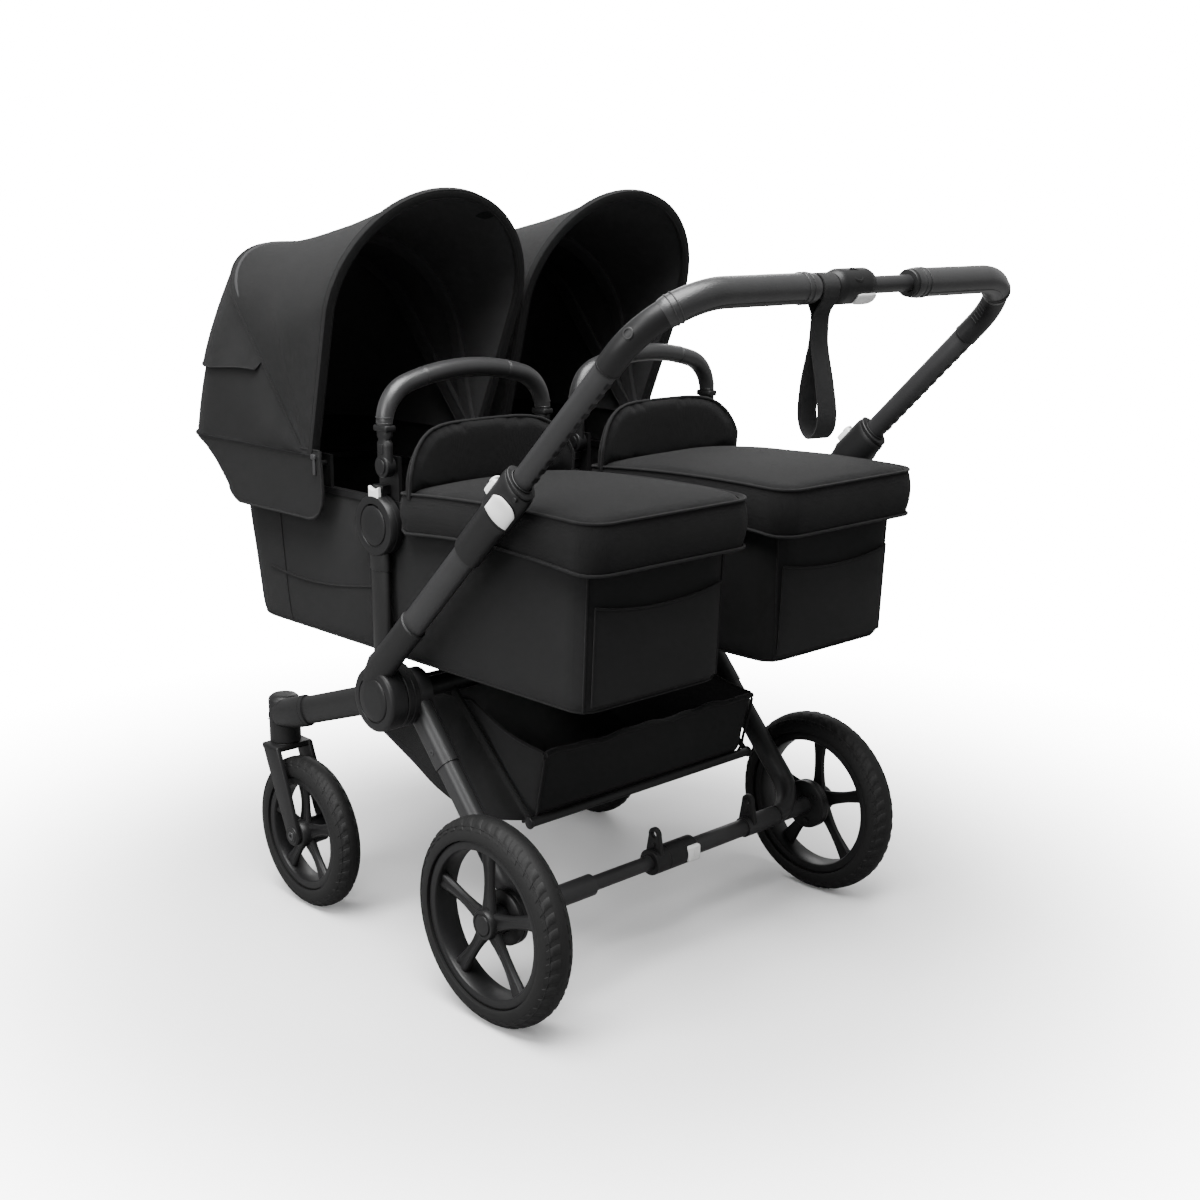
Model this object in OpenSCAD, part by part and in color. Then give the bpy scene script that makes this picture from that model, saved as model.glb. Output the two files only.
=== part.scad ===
// Side-by-side double pram: a four-wheel folding chassis that carries two carrycots.
// X runs across the pram, Y runs from the front wheels to the handlebar, Z is up.

/* [Chassis] */
// Distance of the main hinge axis behind the frame's origin
hinge_y = -6.8; // [-20:0.1:20]
// Height of the main hinge axis above the floor
hinge_z = 418; // [400:1:440]
// Rear axle behind the hinge axis
rear_axle_back = 237.5; // [225:0.5:250]
// Front axle ahead of the hinge axis
front_axle_ahead = 274; // [262:1:290]
// Distance between the mid planes of the two rear wheels
rear_track = 691; // [660:1:720]
// Distance between the mid planes of the two front wheels
front_track = 616; // [600:1:640]
// Radius of the round hinge discs
disc_r = 48; // [42:1:52]
// Height of the cot clamps above the floor
clamp_z = 664; // [650:1:676]
// Radius of the round cot clamps
clamp_r = 44; // [38:1:46]

/* [Wheels] */
// Outer radius of a rear tyre
rear_r = 149.5; // [140:0.5:156]
// Width of a rear tyre
rear_tyre_w = 49; // [40:1:50]
// Outer radius of a front tyre
front_r = 124; // [112:0.5:128]
// Width of a front tyre
front_tyre_w = 42; // [34:1:44]
// Radial height of the tyre above the rim
tyre_h = 31; // [24:1:34]
// Number of wheel spokes
spokes = 5; // [3:1:8]
// Diameter of the wheel axles
axle_d = 12; // [8:1:14]

/* [Swivels] */
// How far the swivel axis runs ahead of the front axle
trail = 60; // [50:1:66]
// Radius of a swivel housing
swivel_r = 25; // [22:1:28]
// Diameter of the swivel pin
swivel_pin_d = 14; // [10:1:18]

/* [Handle] */
// Angle of the handle tubes above the floor
handle_angle = 44.2; // [40:0.1:50]
// Distance of the handle tubes from the mid plane
handle_x = 355; // [350:1:360]
// Distance of the handle tubes' line from the hinge axis
handle_lift = 30.5; // [26:0.5:34]
// Distance along the tubes from the hinge to the corner of the handlebar
handle_reach = 815; // [780:1:840]
// Bend radius of the handlebar's two corners
handle_bend = 100; // [80:1:120]
// Depth of the outer handle tubes
outer_tube_d = 40; // [36:1:42]
// Width of the outer handle tubes
outer_tube_w = 28; // [26:1:30]
// Wall of the outer handle tubes
tube_wall = 2; // [1.5:0.1:2.4]
// Radius of the leather grips
grip_r = 19; // [17:0.5:22]

/* [Rear frame] */
// Distance of the rear legs from the mid plane
leg_x = 299; // [296:0.5:302]
// Bend radius from leg to axle sleeve
leg_bend = 60; // [50:1:70]
// Radius of the axle sleeves
sleeve_r = 16; // [15:0.5:18]

/* [Carrycots] */
// Distance of each carrycot's centre line from the mid plane
cot_x = 181; // [180.5:0.1:183]
// Height of the carrycot floor above the ground
cot_floor_z = 468; // [460:1:480]
// Height of the carrycot rim above the ground
cot_rim_z = 690; // [670:1:694]
// Half width of the carrycot shell
cot_half_w = 131; // [120:1:132]
// Wall of the carrycot shell
cot_wall = 7; // [5:1:9]
// Length of the shell behind the hinge axis
cot_back = 381; // [360:1:390]
// Length of the shell ahead of the hinge axis
cot_front = 436; // [400:1:450]
// Thickness of the mattress
mattress_h = 38; // [25:1:50]

/* [Canopies] */
// Half width of a canopy at its opening
hood_half_w = 178; // [160:1:179]
// Reach of the front bow from the hood pivot
hood_front_reach = 418; // [390:1:430]
// Angle of the front bow above the floor, from the rear
hood_front_angle = 70; // [66:1:76]
// Thickness of the hood fabric solid
hood_skin = 4; // [3:0.5:6]

/* [Fits] */
// Radial clearance of running fits
run_gap = 0.06; // [0.02:0.01:0.1]
// Gap between parts that slide or swing past each other
side_gap = 0.4; // [0.3:0.1:0.8]

/* [Hidden] */
$fn = 48;

// Frame
function at(y) = hinge_y + y;
rear_axle_y = at(rear_axle_back);
front_axle_y = at(-front_axle_ahead);
swivel_y = front_axle_y - trail;
swivel_x = front_track / 2;
hinge_d = 30;
housing_top = 342;
housing_low = 264.5;
arm_dy = swivel_y - hinge_y;
arm_dz = (housing_top + housing_low) / 2 + 4 - hinge_z;
arm_len = norm([arm_dy, arm_dz]);
arm_socket = 255;
disc_in = 316.4;
disc_out = 338.6;
hub_in = disc_out + side_gap;
hub_out = 368;
hub_pin_d = 20;
arm_x = 321;
arm_w = 26;
arm_h = 44;
// Basket
basket_top_z = 352;
basket_side_z = 394;
basket_half_w = 222;
basket_skin = 4;
// Rear legs
leg_dy = rear_axle_back;
leg_dz = rear_r - hinge_z;
leg_len = norm([leg_dy, leg_dz]);
leg_tilt = atan2(leg_dz, leg_dy);
leg_w = 28;
leg_d = 38;
axle_in = leg_x - leg_bend;
drum_out = 331;
hubcap_out = 21;
rear_wheel_x = rear_track / 2;
fork_in = front_tyre_w / 2 + 5;
crown_z = 2 * front_r + 5;
sleeve_end = 164;
thin_tube_d = 22;
thick_tube_d = 27;
// Clamps
clamp_off = 146.8;
clamp_w = 21.6;
centre_half_w = cot_x - clamp_off - clamp_w / 2;
clamp_y = at(-27);
post_w = 16;
post_d = 40;
tongue_w = 6;
tongue_d = 24;
tongue_off = 144.3;
// Handle stations along the tube
socket_s = 149;
collar_s0 = 318;
collar_s1 = 474;
outer_s1 = collar_s1 - 6;
elbow_s = 690;
inner_s0 = 340;
lever_s = 412;
lever_len = 38;
lever_t = 3;
lever_w = 31;
window_len = 34;
inner_tube_w = outer_tube_w - 2 * tube_wall - 1;
inner_tube_d = outer_tube_d - 2 * tube_wall - 1;
thick_bar_r = 15;
thin_bar_r = 11;
near_grip_end = 100;
far_grip_end = -97;
bar_step = 20;
elbow_r = 17;
elbow_turn = 42;
// Cot
cot_seat_y = at(-8);
hood_y = at(-179);
hood_z = 735;
lid_half_w = 149;
carry_off = 146;
carry_pivot_z = 750;
carry_top_z = 879;
carry_arc_r = 364;
carry_corner_r = 58;
carry_turn = asin((carry_off - carry_corner_r) / (carry_arc_r - carry_corner_r));
bow_r = 3.5;
pin_d = 8;
rear_foot = 135.6;
mid_foot = 143.4;
front_foot = 151.2;
eye_half = 3;
eye_r = 10;
ball_extra = 0.3;
hood_pin_out = front_foot + eye_half;
skirt_half_w = 161;
skirt_low_z = 652;
band_z = 748;
lid_front = 20;
lid_back = 421;
lid_low_z = 657;
frame_top = cot_rim_z + 9.2;
lid_top_z = 722;
lid_crown_z = 750;
flap_r = 400;
rod_y = at(183.2);
rod_z = 246.8;
rod_r = 7;
rod_half_w = 232;
rear_bow_angle = 130;
mid_bow_angle = 107;
front_bow_lag = 0.6;
front_bow_half_w = hood_half_w - hood_skin - 4.7;
front_bow_reach = hood_front_reach - hood_skin - 9.8;
hood_base_half_w = skirt_half_w - 1;
hood_base = 15;
mid_half_w = 168;
mid_reach = 350;
rear_half_w = 158;
rear_reach = 408;
hood_back = 575;
skirt_back = 480;
mouth_lift = 6;

// A bar of oval section that runs up local Z, with its long side along local Y
module oval_bar(w, d, len) {
  linear_extrude(len) oval(w, d);
}

// An oval: a rectangle with round ends along Y
module oval(w, d) {
  translate([0, (d - w) / 2]) circle(d = w);
  translate([0, -(d - w) / 2]) circle(d = w);
  square([w, d - w], center = true);
}

// A cylinder along X that starts at x
module rod_x(x, y, z, len, r) {
  translate([x, y, z]) rotate([0, 90, 0]) cylinder(h = len, r = r);
}

// Children are drawn once on each side of the pram
module both_sides() {
  children();
  mirror([1, 0, 0]) children();
}

// ---- Chassis ----
module arm_run() {
  translate([arm_x, hinge_y, hinge_z])
    rotate([atan2(-arm_dy, arm_dz), 0, 0]) children();
}

module front_arm() {
  difference() {
    arm_run() oval_bar(arm_w, arm_h, arm_len - 4);
    rod_x(disc_in - 10, hinge_y, hinge_z, 60, disc_r);
    translate([swivel_x, swivel_y, 0]) cylinder(h = 600, r = swivel_r + 16);
  }
}

module front_arms() {
  color("#232323") both_sides() front_arm();
}

module hinge_housings() {
  color("#1c1c1c") both_sides() {
    difference() {
      rod_x(disc_in, hinge_y, hinge_z, disc_out - disc_in, disc_r);
      rod_x(disc_in - 1, hinge_y, hinge_z, 40, hub_pin_d / 2);
    }
    rod_x(disc_in, hinge_y, hinge_z, hub_out - 2 - disc_in, hub_pin_d / 2 - 0.01);
  }
}

module cot_post() {
  difference() {
    translate([cot_x + clamp_off, clamp_y, hinge_z])
      oval_bar(post_w, post_d, clamp_z - hinge_z);
    rod_x(disc_in - 10, hinge_y, hinge_z, 60, disc_r);
    rod_x(disc_in - 10, clamp_y, clamp_z, 60, clamp_r);
  }
}

module centre_post() {
  difference() {
    union() {
      translate([0, clamp_y, hinge_z]) oval_bar(28, post_d, clamp_z - hinge_z);
      translate([-20, clamp_y - 20, hinge_z - 22]) cube([40, 68, 44]);
    }
    rod_x(-60, hinge_y, hinge_z, 120, hinge_d / 2 + 0.02);
    rod_x(-60, clamp_y, clamp_z, 120, clamp_r - 6);
  }
}

module cot_posts() {
  color("#2b2b2b") {
    both_sides() cot_post();
    centre_post();
  }
}

// One clamp of a cot; out is +1 where its face looks away from the cot's far side
module clamp(x, out) {
  translate([x, clamp_y, clamp_z]) difference() {
    union() {
      rotate([0, 90, 0]) cylinder(h = clamp_w, r = clamp_r, center = true);
      rotate([0, 90, 0]) translate([0, 0, out * (clamp_w / 2 - 1.2)])
        cylinder(h = 4, r = 29, center = true);
    }
    translate([-out * (clamp_off - tongue_off) - tongue_w / 2 - side_gap, -tongue_d / 2 - side_gap, 4])
      cube([tongue_w + 2 * side_gap, tongue_d + 2 * side_gap, clamp_r]);
    translate([out * 6 - 4 - side_gap, -12 - side_gap, clamp_r - 18])
      cube([8 + 2 * side_gap, 24 + 2 * side_gap, 30]);
  }
}

module cot_clamps() {
  color("#1c1c1c") {
    both_sides() {
      clamp(cot_x + clamp_off, 1);
      clamp(cot_x - clamp_off, -1);
    }
    rod_x(-centre_half_w, clamp_y, clamp_z, 2 * centre_half_w, clamp_r - 6);
  }
}

module clamp_button(x, out) {
  color("white") translate([x + out * 6, clamp_y, clamp_z + clamp_r - 12]) difference() {
    translate([-4, -12, 0]) cube([8, 24, 24]);
    translate([-5, 0, 44]) rotate([0, 90, 0]) cylinder(h = 10, r = 22);
  }
}

module left_outer_button() { clamp_button(cot_x + clamp_off, 1); }
module left_inner_button() { clamp_button(cot_x - clamp_off, -1); }
module right_inner_button() { clamp_button(-cot_x + clamp_off, 1); }
module right_outer_button() { clamp_button(-cot_x - clamp_off, -1); }

module cross_tube() {
  color("#2b2b2b") {
    rod_x(-disc_in, hinge_y, hinge_z, 2 * disc_in, hinge_d / 2);
  }
}

module swivel_housing() {
  difference() {
    union() {
      translate([swivel_x, swivel_y, housing_low]) cylinder(h = housing_top - housing_low, r = swivel_r);
      difference() {
        arm_run() translate([0, 0, arm_socket]) oval_bar(arm_w + 6, arm_h + 6, arm_len - arm_socket);
        translate([swivel_x, swivel_y, housing_top]) cylinder(h = 100, r = 60);
      }
    }
    front_arm();
    translate([swivel_x, swivel_y, housing_low - 1]) cylinder(h = 56, r = swivel_pin_d / 2 + run_gap);
    translate([swivel_x - 11, swivel_y - swivel_r - 1, housing_low + 18]) cube([22, 9, 26]);
  }
}

module swivel_housings() {
  color("#1c1c1c") both_sides() swivel_housing();
}

// Side profile of the basket's bottom, drawn in by g
function basket_line(g) = [
  [at(201 - g), basket_top_z], [at(178 - g), 252 + g], [at(120 - g), 226 + g], [at(60), 212 + g],
  [at(0), 212 + g], [at(-60), 226 + g], [at(-114), 250 + g], [at(-180), 276 + g],
  [at(-232 + g), 300 + g], [at(-240 + g), basket_top_z]];

module basket_solid(half_w, g, brim) {
  translate([-half_w, 0, 0]) rotate([90, 0, 90]) linear_extrude(2 * half_w)
    polygon(concat(basket_line(g), brim));
}

module basket() {
  color("#181818") difference() {
    basket_solid(basket_half_w, 0, [[at(-100), basket_side_z], [at(40), basket_side_z]]);
    basket_solid(basket_half_w - basket_skin, basket_skin,
      [[at(-240 + basket_skin), hinge_z + 100], [at(201 - basket_skin), hinge_z + 100]]);
  }
}

module basket_frame() {
  color("#232323") {
    rod_x(-rod_half_w, rod_y, rod_z, 2 * rod_half_w, rod_r);
    both_sides() difference() {
      translate([rod_half_w - 5, 0, 0]) rotate([90, 0, 90]) linear_extrude(5)
        polygon([[at(-12), hinge_z], [at(12), hinge_z], [rod_y + rod_r, rod_z], [rod_y - rod_r, rod_z]]);
      rod_x(0, hinge_y, hinge_z, 400, hinge_d / 2 + 0.02);
      rod_x(0, rod_y, rod_z, 400, rod_r);
    }
  }
}

// ---- Rear frame ----
module leg_run() {
  translate([leg_x, hinge_y, hinge_z]) rotate([-(90 - leg_tilt), 0, 0]) children();
}

// A quarter bend that turns from local Z towards the mid plane
module quarter_bend(r, deg) {
  translate([-r, 0, 0]) rotate([90, 0, 0]) rotate_extrude(angle = deg, $fn = 64)
    translate([r, 0]) children();
}

module rear_leg() {
  straight = leg_len - leg_bend;
  difference() {
    leg_run() {
      rotate([0, 90, 0]) cylinder(h = leg_w, r = 34, center = true);
      oval_bar(leg_w, leg_d, straight);
      oval_bar(leg_w + 4, leg_d + 4, 125);
    }
    rod_x(0, hinge_y, hinge_z, 400, hinge_d / 2 + run_gap);
  }
  leg_run() translate([0, 0, straight]) quarter_bend(leg_bend, 90) oval(leg_w, leg_d);
  rod_x(sleeve_end, rear_axle_y, rear_r, axle_in + 1 - sleeve_end, sleeve_r);
  rod_x(axle_in, rear_axle_y, rear_r, drum_out - axle_in, 14);
  rod_x(axle_in, rear_axle_y, rear_r, rear_wheel_x + hubcap_out - 3 - axle_in, axle_d / 2);
}

module rear_legs() {
  color("#262626") both_sides() rear_leg();
}

module brake_drums() {
  color("#1c1c1c") both_sides() difference() {
    rod_x(leg_x + leg_w / 2 + 1, rear_axle_y, rear_r, drum_out - leg_x - leg_w / 2 - 1, 40);
    rod_x(axle_in, rear_axle_y, rear_r, 200, 14.02);
  }
}

module axle_tubes() {
  color("#2b2b2b") {
    rod_x(-sleeve_end, rear_axle_y, rear_r, sleeve_end - 45, thick_tube_d / 2);
    rod_x(45, rear_axle_y, rear_r, sleeve_end - 45, thin_tube_d / 2);
  }
}

// Holed lug that stands on the axle
module axle_lug(x) {
  translate([x, rear_axle_y, rear_r]) rotate([90, 0, 90]) difference() {
    linear_extrude(8) difference() {
      union() {
        translate([0, 42]) circle(r = 11);
        polygon([[-11, 42], [-17, 8], [17, 8], [11, 42]]);
      }
      translate([0, 42]) circle(r = 5);
      circle(r = sleeve_r + 0.05);
    }
  }
}

module axle_connector() {
  color("#1c1c1c") {
    difference() {
      rod_x(-45, rear_axle_y, rear_r, 90, 20);
      translate([-45 - side_gap, rear_axle_y + 8, rear_r - 13]) cube([26 + 2 * side_gap, 20, 26]);
    }
    axle_lug(28);
    axle_lug(-sleeve_end - 16);
  }
}

module axle_latch() {
  color("white") translate([-45, rear_axle_y + 8 + side_gap, rear_r - 13 + side_gap])
    cube([26, 15, 26 - 2 * side_gap]);
}

// ---- Wheels ----
// Tyre in the plane X = 0, centred on the origin
module tyre_ring(r, w) {
  rotate([0, 90, 0]) rotate_extrude($fn = 96) intersection() {
    translate([r - w / 2 - 2, 0]) circle(r = w / 2 + 2);
    translate([r - tyre_h, -w / 2]) square([tyre_h, w]);
  }
}

// Rim with tapered spokes; its hub runs from inn to out, bored from the inside over depth
module rim_disc(r, w, inn, out, depth) {
  rotate([0, 90, 0]) {
    rotate_extrude($fn = 96) translate([r - tyre_h - 13, -w / 2 + 5]) square([12.8, w - 10]);
    for (i = [0 : spokes - 1]) rotate(i * 360 / spokes + 90) translate([0, 0, 1])
      linear_extrude(13) polygon([[14, -11], [r * 0.55, -8], [r - tyre_h - 6, -11],
                                  [r - tyre_h - 6, 11], [r * 0.55, 8], [14, 11]]);
    difference() {
      translate([0, 0, inn]) cylinder(h = out - inn, r = 21);
      translate([0, 0, inn - 1]) cylinder(h = depth + 1, r = axle_d / 2 + run_gap);
    }
  }
}

module rear_tyre(side) {
  color("#1a1a1a") translate([side * rear_wheel_x, rear_axle_y, rear_r]) tyre_ring(rear_r, rear_tyre_w);
}

module rear_rim() {
  color("#242424") translate([rear_wheel_x, rear_axle_y, rear_r])
    rim_disc(rear_r, rear_tyre_w, drum_out + side_gap - rear_wheel_x, hubcap_out,
             hubcap_out - 2 - drum_out - side_gap + rear_wheel_x);
}

module left_rear_tyre() { rear_tyre(1); }
module right_rear_tyre() { rear_tyre(-1); }
module left_rear_rim() { rear_rim(); }
module right_rear_rim() { mirror([1, 0, 0]) rear_rim(); }

module front_tyre() {
  color("#1a1a1a") translate([swivel_x, front_axle_y, front_r]) tyre_ring(front_r, front_tyre_w);
}

module front_rim() {
  color("#242424") translate([swivel_x, front_axle_y, front_r])
    rim_disc(front_r, front_tyre_w, -fork_in + side_gap, fork_in - side_gap, 2 * fork_in);
}

module left_front_tyre() { front_tyre(); }
module right_front_tyre() { mirror([1, 0, 0]) front_tyre(); }
module left_front_rim() { front_rim(); }
module right_front_rim() { mirror([1, 0, 0]) front_rim(); }

// Fork: swivel pin, crown, two blades and the wheel axle
module fork() {
  color("#1f1f1f") {
    translate([swivel_x, swivel_y, crown_z]) cylinder(h = housing_low + 50 - crown_z, r = swivel_pin_d / 2);
    translate([swivel_x, swivel_y, crown_z]) cylinder(h = housing_low - side_gap - crown_z, r = swivel_r);
    translate([swivel_x - fork_in - 8, swivel_y - 18, crown_z]) cube([2 * fork_in + 16, 44, 10]);
    for (k = [-1, 1]) translate([swivel_x + k * (fork_in + 4) - 4, 0, 0]) rotate([90, 0, 90])
      linear_extrude(8) {
        polygon([[swivel_y - 18, crown_z + 10], [swivel_y + 26, crown_z + 10],
                 [front_axle_y + 17, front_r], [front_axle_y - 17, front_r]]);
        translate([front_axle_y, front_r]) circle(r = 17);
      }
    rod_x(swivel_x - fork_in - 8, front_axle_y, front_r, 2 * fork_in + 16, axle_d / 2);
  }
}

module left_fork() { fork(); }
module right_fork() { mirror([1, 0, 0]) fork(); }

// Tab that locks a front wheel straight ahead
module swivel_lock() {
  color("white") translate([swivel_x, swivel_y - swivel_r + 8, housing_low + 18]) {
    translate([-11 + side_gap, -8 + side_gap, side_gap]) cube([22 - 2 * side_gap, 7, 26 - 2 * side_gap]);
    translate([-9, -22, side_gap + 5]) cube([18, 16, 7]);
  }
}

module left_swivel_lock() { swivel_lock(); }
module right_swivel_lock() { mirror([1, 0, 0]) swivel_lock(); }

// ---- Handle ----
// Frame of the left handle tube: Z runs up the tube, -Y is away from the floor
module tube_run(s) {
  translate([handle_x, hinge_y, hinge_z]) rotate([-(90 - handle_angle), 0, 0])
    translate([0, -handle_lift, s]) children();
}

module handle_hub() {
  difference() {
    union() {
      rod_x(hub_in, hinge_y, hinge_z, hub_out - hub_in, disc_r);
      rod_x(hub_out - 1, hinge_y, hinge_z, 3, 32);
      tube_run(0) oval_bar(outer_tube_w, outer_tube_d + 4, socket_s);
    }
    rod_x(hub_in - 1, hinge_y, hinge_z, hub_out - 1.8 - hub_in + 1, hub_pin_d / 2 + run_gap);
    tube_run(60) oval_bar(outer_tube_w - 2 * tube_wall, outer_tube_d - 2 * tube_wall, socket_s);
  }
}

module handle_hubs() {
  color("#262626") both_sides() handle_hub();
}

module outer_tubes() {
  color("#303030") both_sides() tube_run(socket_s) difference() {
    oval_bar(outer_tube_w, outer_tube_d, outer_s1 - socket_s);
    translate([0, 0, -1]) oval_bar(outer_tube_w - 2 * tube_wall, outer_tube_d - 2 * tube_wall, 600);
  }
}

// Collar that grips the outer tube's upper end and guides the inner tube
module height_collar() {
  tube_run(collar_s0) difference() {
    union() {
      oval_bar(outer_tube_w + 5, outer_tube_d + 10, collar_s1 - collar_s0 - 62);
      translate([0, 0, collar_s1 - collar_s0 - 66]) oval_bar(outer_tube_w + 5, outer_tube_d + 18, 66);
    }
    translate([0, 0, -1]) oval_bar(outer_tube_w, outer_tube_d, outer_s1 - collar_s0 + 1);
    translate([0, 0, 10]) oval_bar(inner_tube_w + 0.6, inner_tube_d + 0.6, collar_s1 - collar_s0);
    translate([outer_tube_w / 2 + 0.1, -lever_w / 2, lever_s - collar_s0]) cube([20, lever_w, lever_len]);
    translate([-8 - side_gap, -outer_tube_d / 2 - 20, lever_s - collar_s0 + 2])
      cube([16 + 2 * side_gap, 18, window_len]);
  }
}

module height_collars() {
  color("#1c1c1c") both_sides() height_collar();
}

// White lever on the outer face of a collar
module height_lever() {
  color("white") tube_run(lever_s) translate([outer_tube_w / 2 + side_gap + lever_t / 2, 0, 0]) {
    translate([0, 0, side_gap + lever_t / 2]) rotate([90, 0, 0])
      cylinder(h = lever_w - 2 * side_gap, r = lever_t / 2, center = true);
    intersection() {
      translate([-lever_t / 2, -lever_w / 2 + side_gap, side_gap + lever_t / 2])
        cube([lever_t, lever_w - 2 * side_gap, lever_len - 2 * side_gap - lever_t / 2]);
      translate([0, 0, lever_len - side_gap - 23]) rotate([0, 90, 0]) cylinder(h = 60, r = 23, center = true);
    }
  }
}

module left_height_lever() { height_lever(); }
module right_height_lever() { mirror([1, 0, 0]) height_lever(); }

// White trigger with a finger loop, on the upper face of a collar
module fold_trigger() {
  color("white") tube_run(lever_s + 2) difference() {
    translate([-8, -outer_tube_d / 2 - 14, side_gap]) cube([16, 11, 26]);
    translate([0, -outer_tube_d / 2 - 9, 20]) rotate([90, 0, 0]) cylinder(h = 20, r = 4.5, center = true);
  }
}

module left_fold_trigger() { fold_trigger(); }
module right_fold_trigger() { mirror([1, 0, 0]) fold_trigger(); }

module inner_tubes() {
  color("#383838") both_sides()
    tube_run(inner_s0) oval_bar(inner_tube_w, inner_tube_d, elbow_s + 12 - inner_s0);
}

// Sweeps its child profile round the handlebar's left corner, from deg a over deg da
module bar_corner(a, da) {
  tube_run(handle_reach - handle_bend) translate([-handle_bend, 0, 0]) rotate([90, 0, 0])
    rotate([0, 0, a]) rotate_extrude(angle = da, $fn = 96) translate([handle_bend, 0]) children();
}

module handle_elbow() {
  tube_run(elbow_s) difference() {
    cylinder(h = handle_reach - handle_bend - elbow_s, r = elbow_r);
    translate([0, 0, -1]) oval_bar(inner_tube_w, inner_tube_d, 13);
  }
  bar_corner(0, elbow_turn) circle(r = elbow_r);
}

module handle_elbows() {
  color("#1c1c1c") both_sides() handle_elbow();
}

module bar_run(x0, x1, r) {
  tube_run(handle_reach) rotate([0, 90, 0])
    translate([0, 0, x0 - handle_x]) cylinder(h = x1 - x0, r = r);
}

module handle_grip(x0) {
  bar_corner(90, elbow_turn - 90) circle(r = grip_r);
  bar_run(x0, handle_x - handle_bend, grip_r);
}

module handle_grips() {
  color("#141414") handle_grip(near_grip_end);
  color("#141414") mirror([1, 0, 0]) handle_grip(-far_grip_end);
}

// Telescopic crossbar with the housing that clamps its two halves
module handlebar_clamp() {
  color("#1c1c1c") difference() {
    union() {
      bar_run(far_grip_end, bar_step, thin_bar_r);
      bar_run(-10, 64, 22);
      bar_run(bar_step, near_grip_end, thick_bar_r);
    }
    tube_run(handle_reach) translate([-handle_x - 2 - side_gap, 4, -11 - side_gap])
      cube([36 + 2 * side_gap, 30, 22 + 2 * side_gap]);
  }
}

// White squeeze lever in the underside of the clamp housing
module clamp_lever() {
  color("white") tube_run(handle_reach) translate([-handle_x - 2, 15 + side_gap, -11])
    difference() {
      cube([36, 10, 22]);
      translate([18, -1, 11]) rotate([-90, 0, 0]) cylinder(h = 4, r = 5);
    }
}

// Wrist strap: a webbing loop that hangs from the crossbar
module wrist_strap() {
  bar = [handle_reach * cos(handle_angle) - handle_lift * sin(handle_angle),
         handle_reach * sin(handle_angle) + handle_lift * cos(handle_angle)];
  color("#151515") translate([66, at(bar[0]), hinge_z + bar[1]]) rotate([90, 0, 90])
    linear_extrude(30) difference() {
      strap_side(thick_bar_r + 2.2);
      strap_side(thick_bar_r + 0.2);
    }
}

// Outline of the strap loop seen from the side, at distance r round the bar
module strap_side(r) {
  skin = r - thick_bar_r;
  circle(r = r);
  polygon([[-r, 0], [-11 - skin, -110], [-8 - skin, -184 - skin], [8 + skin, -184 - skin],
           [11 + skin, -110], [r, 0]]);
}

// ---- Carrycots: drawn for the left one, the right one is its mirror image ----
// Plan outline of a cot: square-ended at the foot, round at the head
module cot_plan(half_w, foot, head, foot_r, head_r) {
  hull() for (k = [-1, 1]) {
    translate([cot_x + k * (half_w - foot_r), at(foot - foot_r)]) circle(r = foot_r, $fn = 24);
    translate([cot_x + k * (half_w - head_r), at(-head + head_r)]) circle(r = head_r, $fn = 32);
  }
}

// Solid between two plan outlines; g draws it in on every side
module cot_loft(g, z0, z1) {
  hull() {
    translate([0, 0, z0]) linear_extrude(0.01)
      cot_plan(cot_half_w - 2 - g, cot_back - g, cot_front - g, 20 - g / 2, 85 - g / 2);
    translate([0, 0, z1 - 0.01]) linear_extrude(0.01)
      cot_plan(cot_half_w - g, cot_back + 12 - g, cot_front + 44 - g, 20 - g / 2, 95 - g / 2);
  }
}

module cot_shell() {
  color("#1b1b1b") difference() {
    cot_loft(0, cot_floor_z, cot_rim_z);
    cot_loft(cot_wall, cot_floor_z + cot_wall, cot_rim_z + 0.1);
  }
}

module mattress() {
  color("#3a3a3a") translate([0, 0, cot_floor_z + cot_wall + 0.3]) linear_extrude(mattress_h)
    cot_plan(cot_half_w - 2 - cot_wall - 3, cot_back - cot_wall - 3, cot_front - cot_wall - 3, 15, 80);
}

// Rim ring, hood brackets, handle brackets with their pins and clamp tongues, and the floor tray
module cot_frame() {
  color("#1c1c1c") {
    translate([0, 0, cot_rim_z + 0.2]) linear_extrude(9) difference() {
      cot_plan(cot_half_w + 3, cot_back + 15, cot_front + 47, 22, 97);
      cot_plan(cot_half_w - 8, cot_back + 4, cot_front + 36, 14, 88);
    }
    for (k = [-1, 1]) translate([cot_x, 0, 0]) cot_brackets(k);
    translate([0, 0, cot_floor_z - 5.2]) linear_extrude(5)
      cot_plan(cot_half_w - 22, cot_back - 30, cot_front - 30, 20, 70);
    for (k = [-1, 1], y = [-340, 300]) translate([cot_x + k * 80, at(y), cot_floor_z - 12])
      cylinder(h = 7, r = 12);
  }
}

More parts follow.
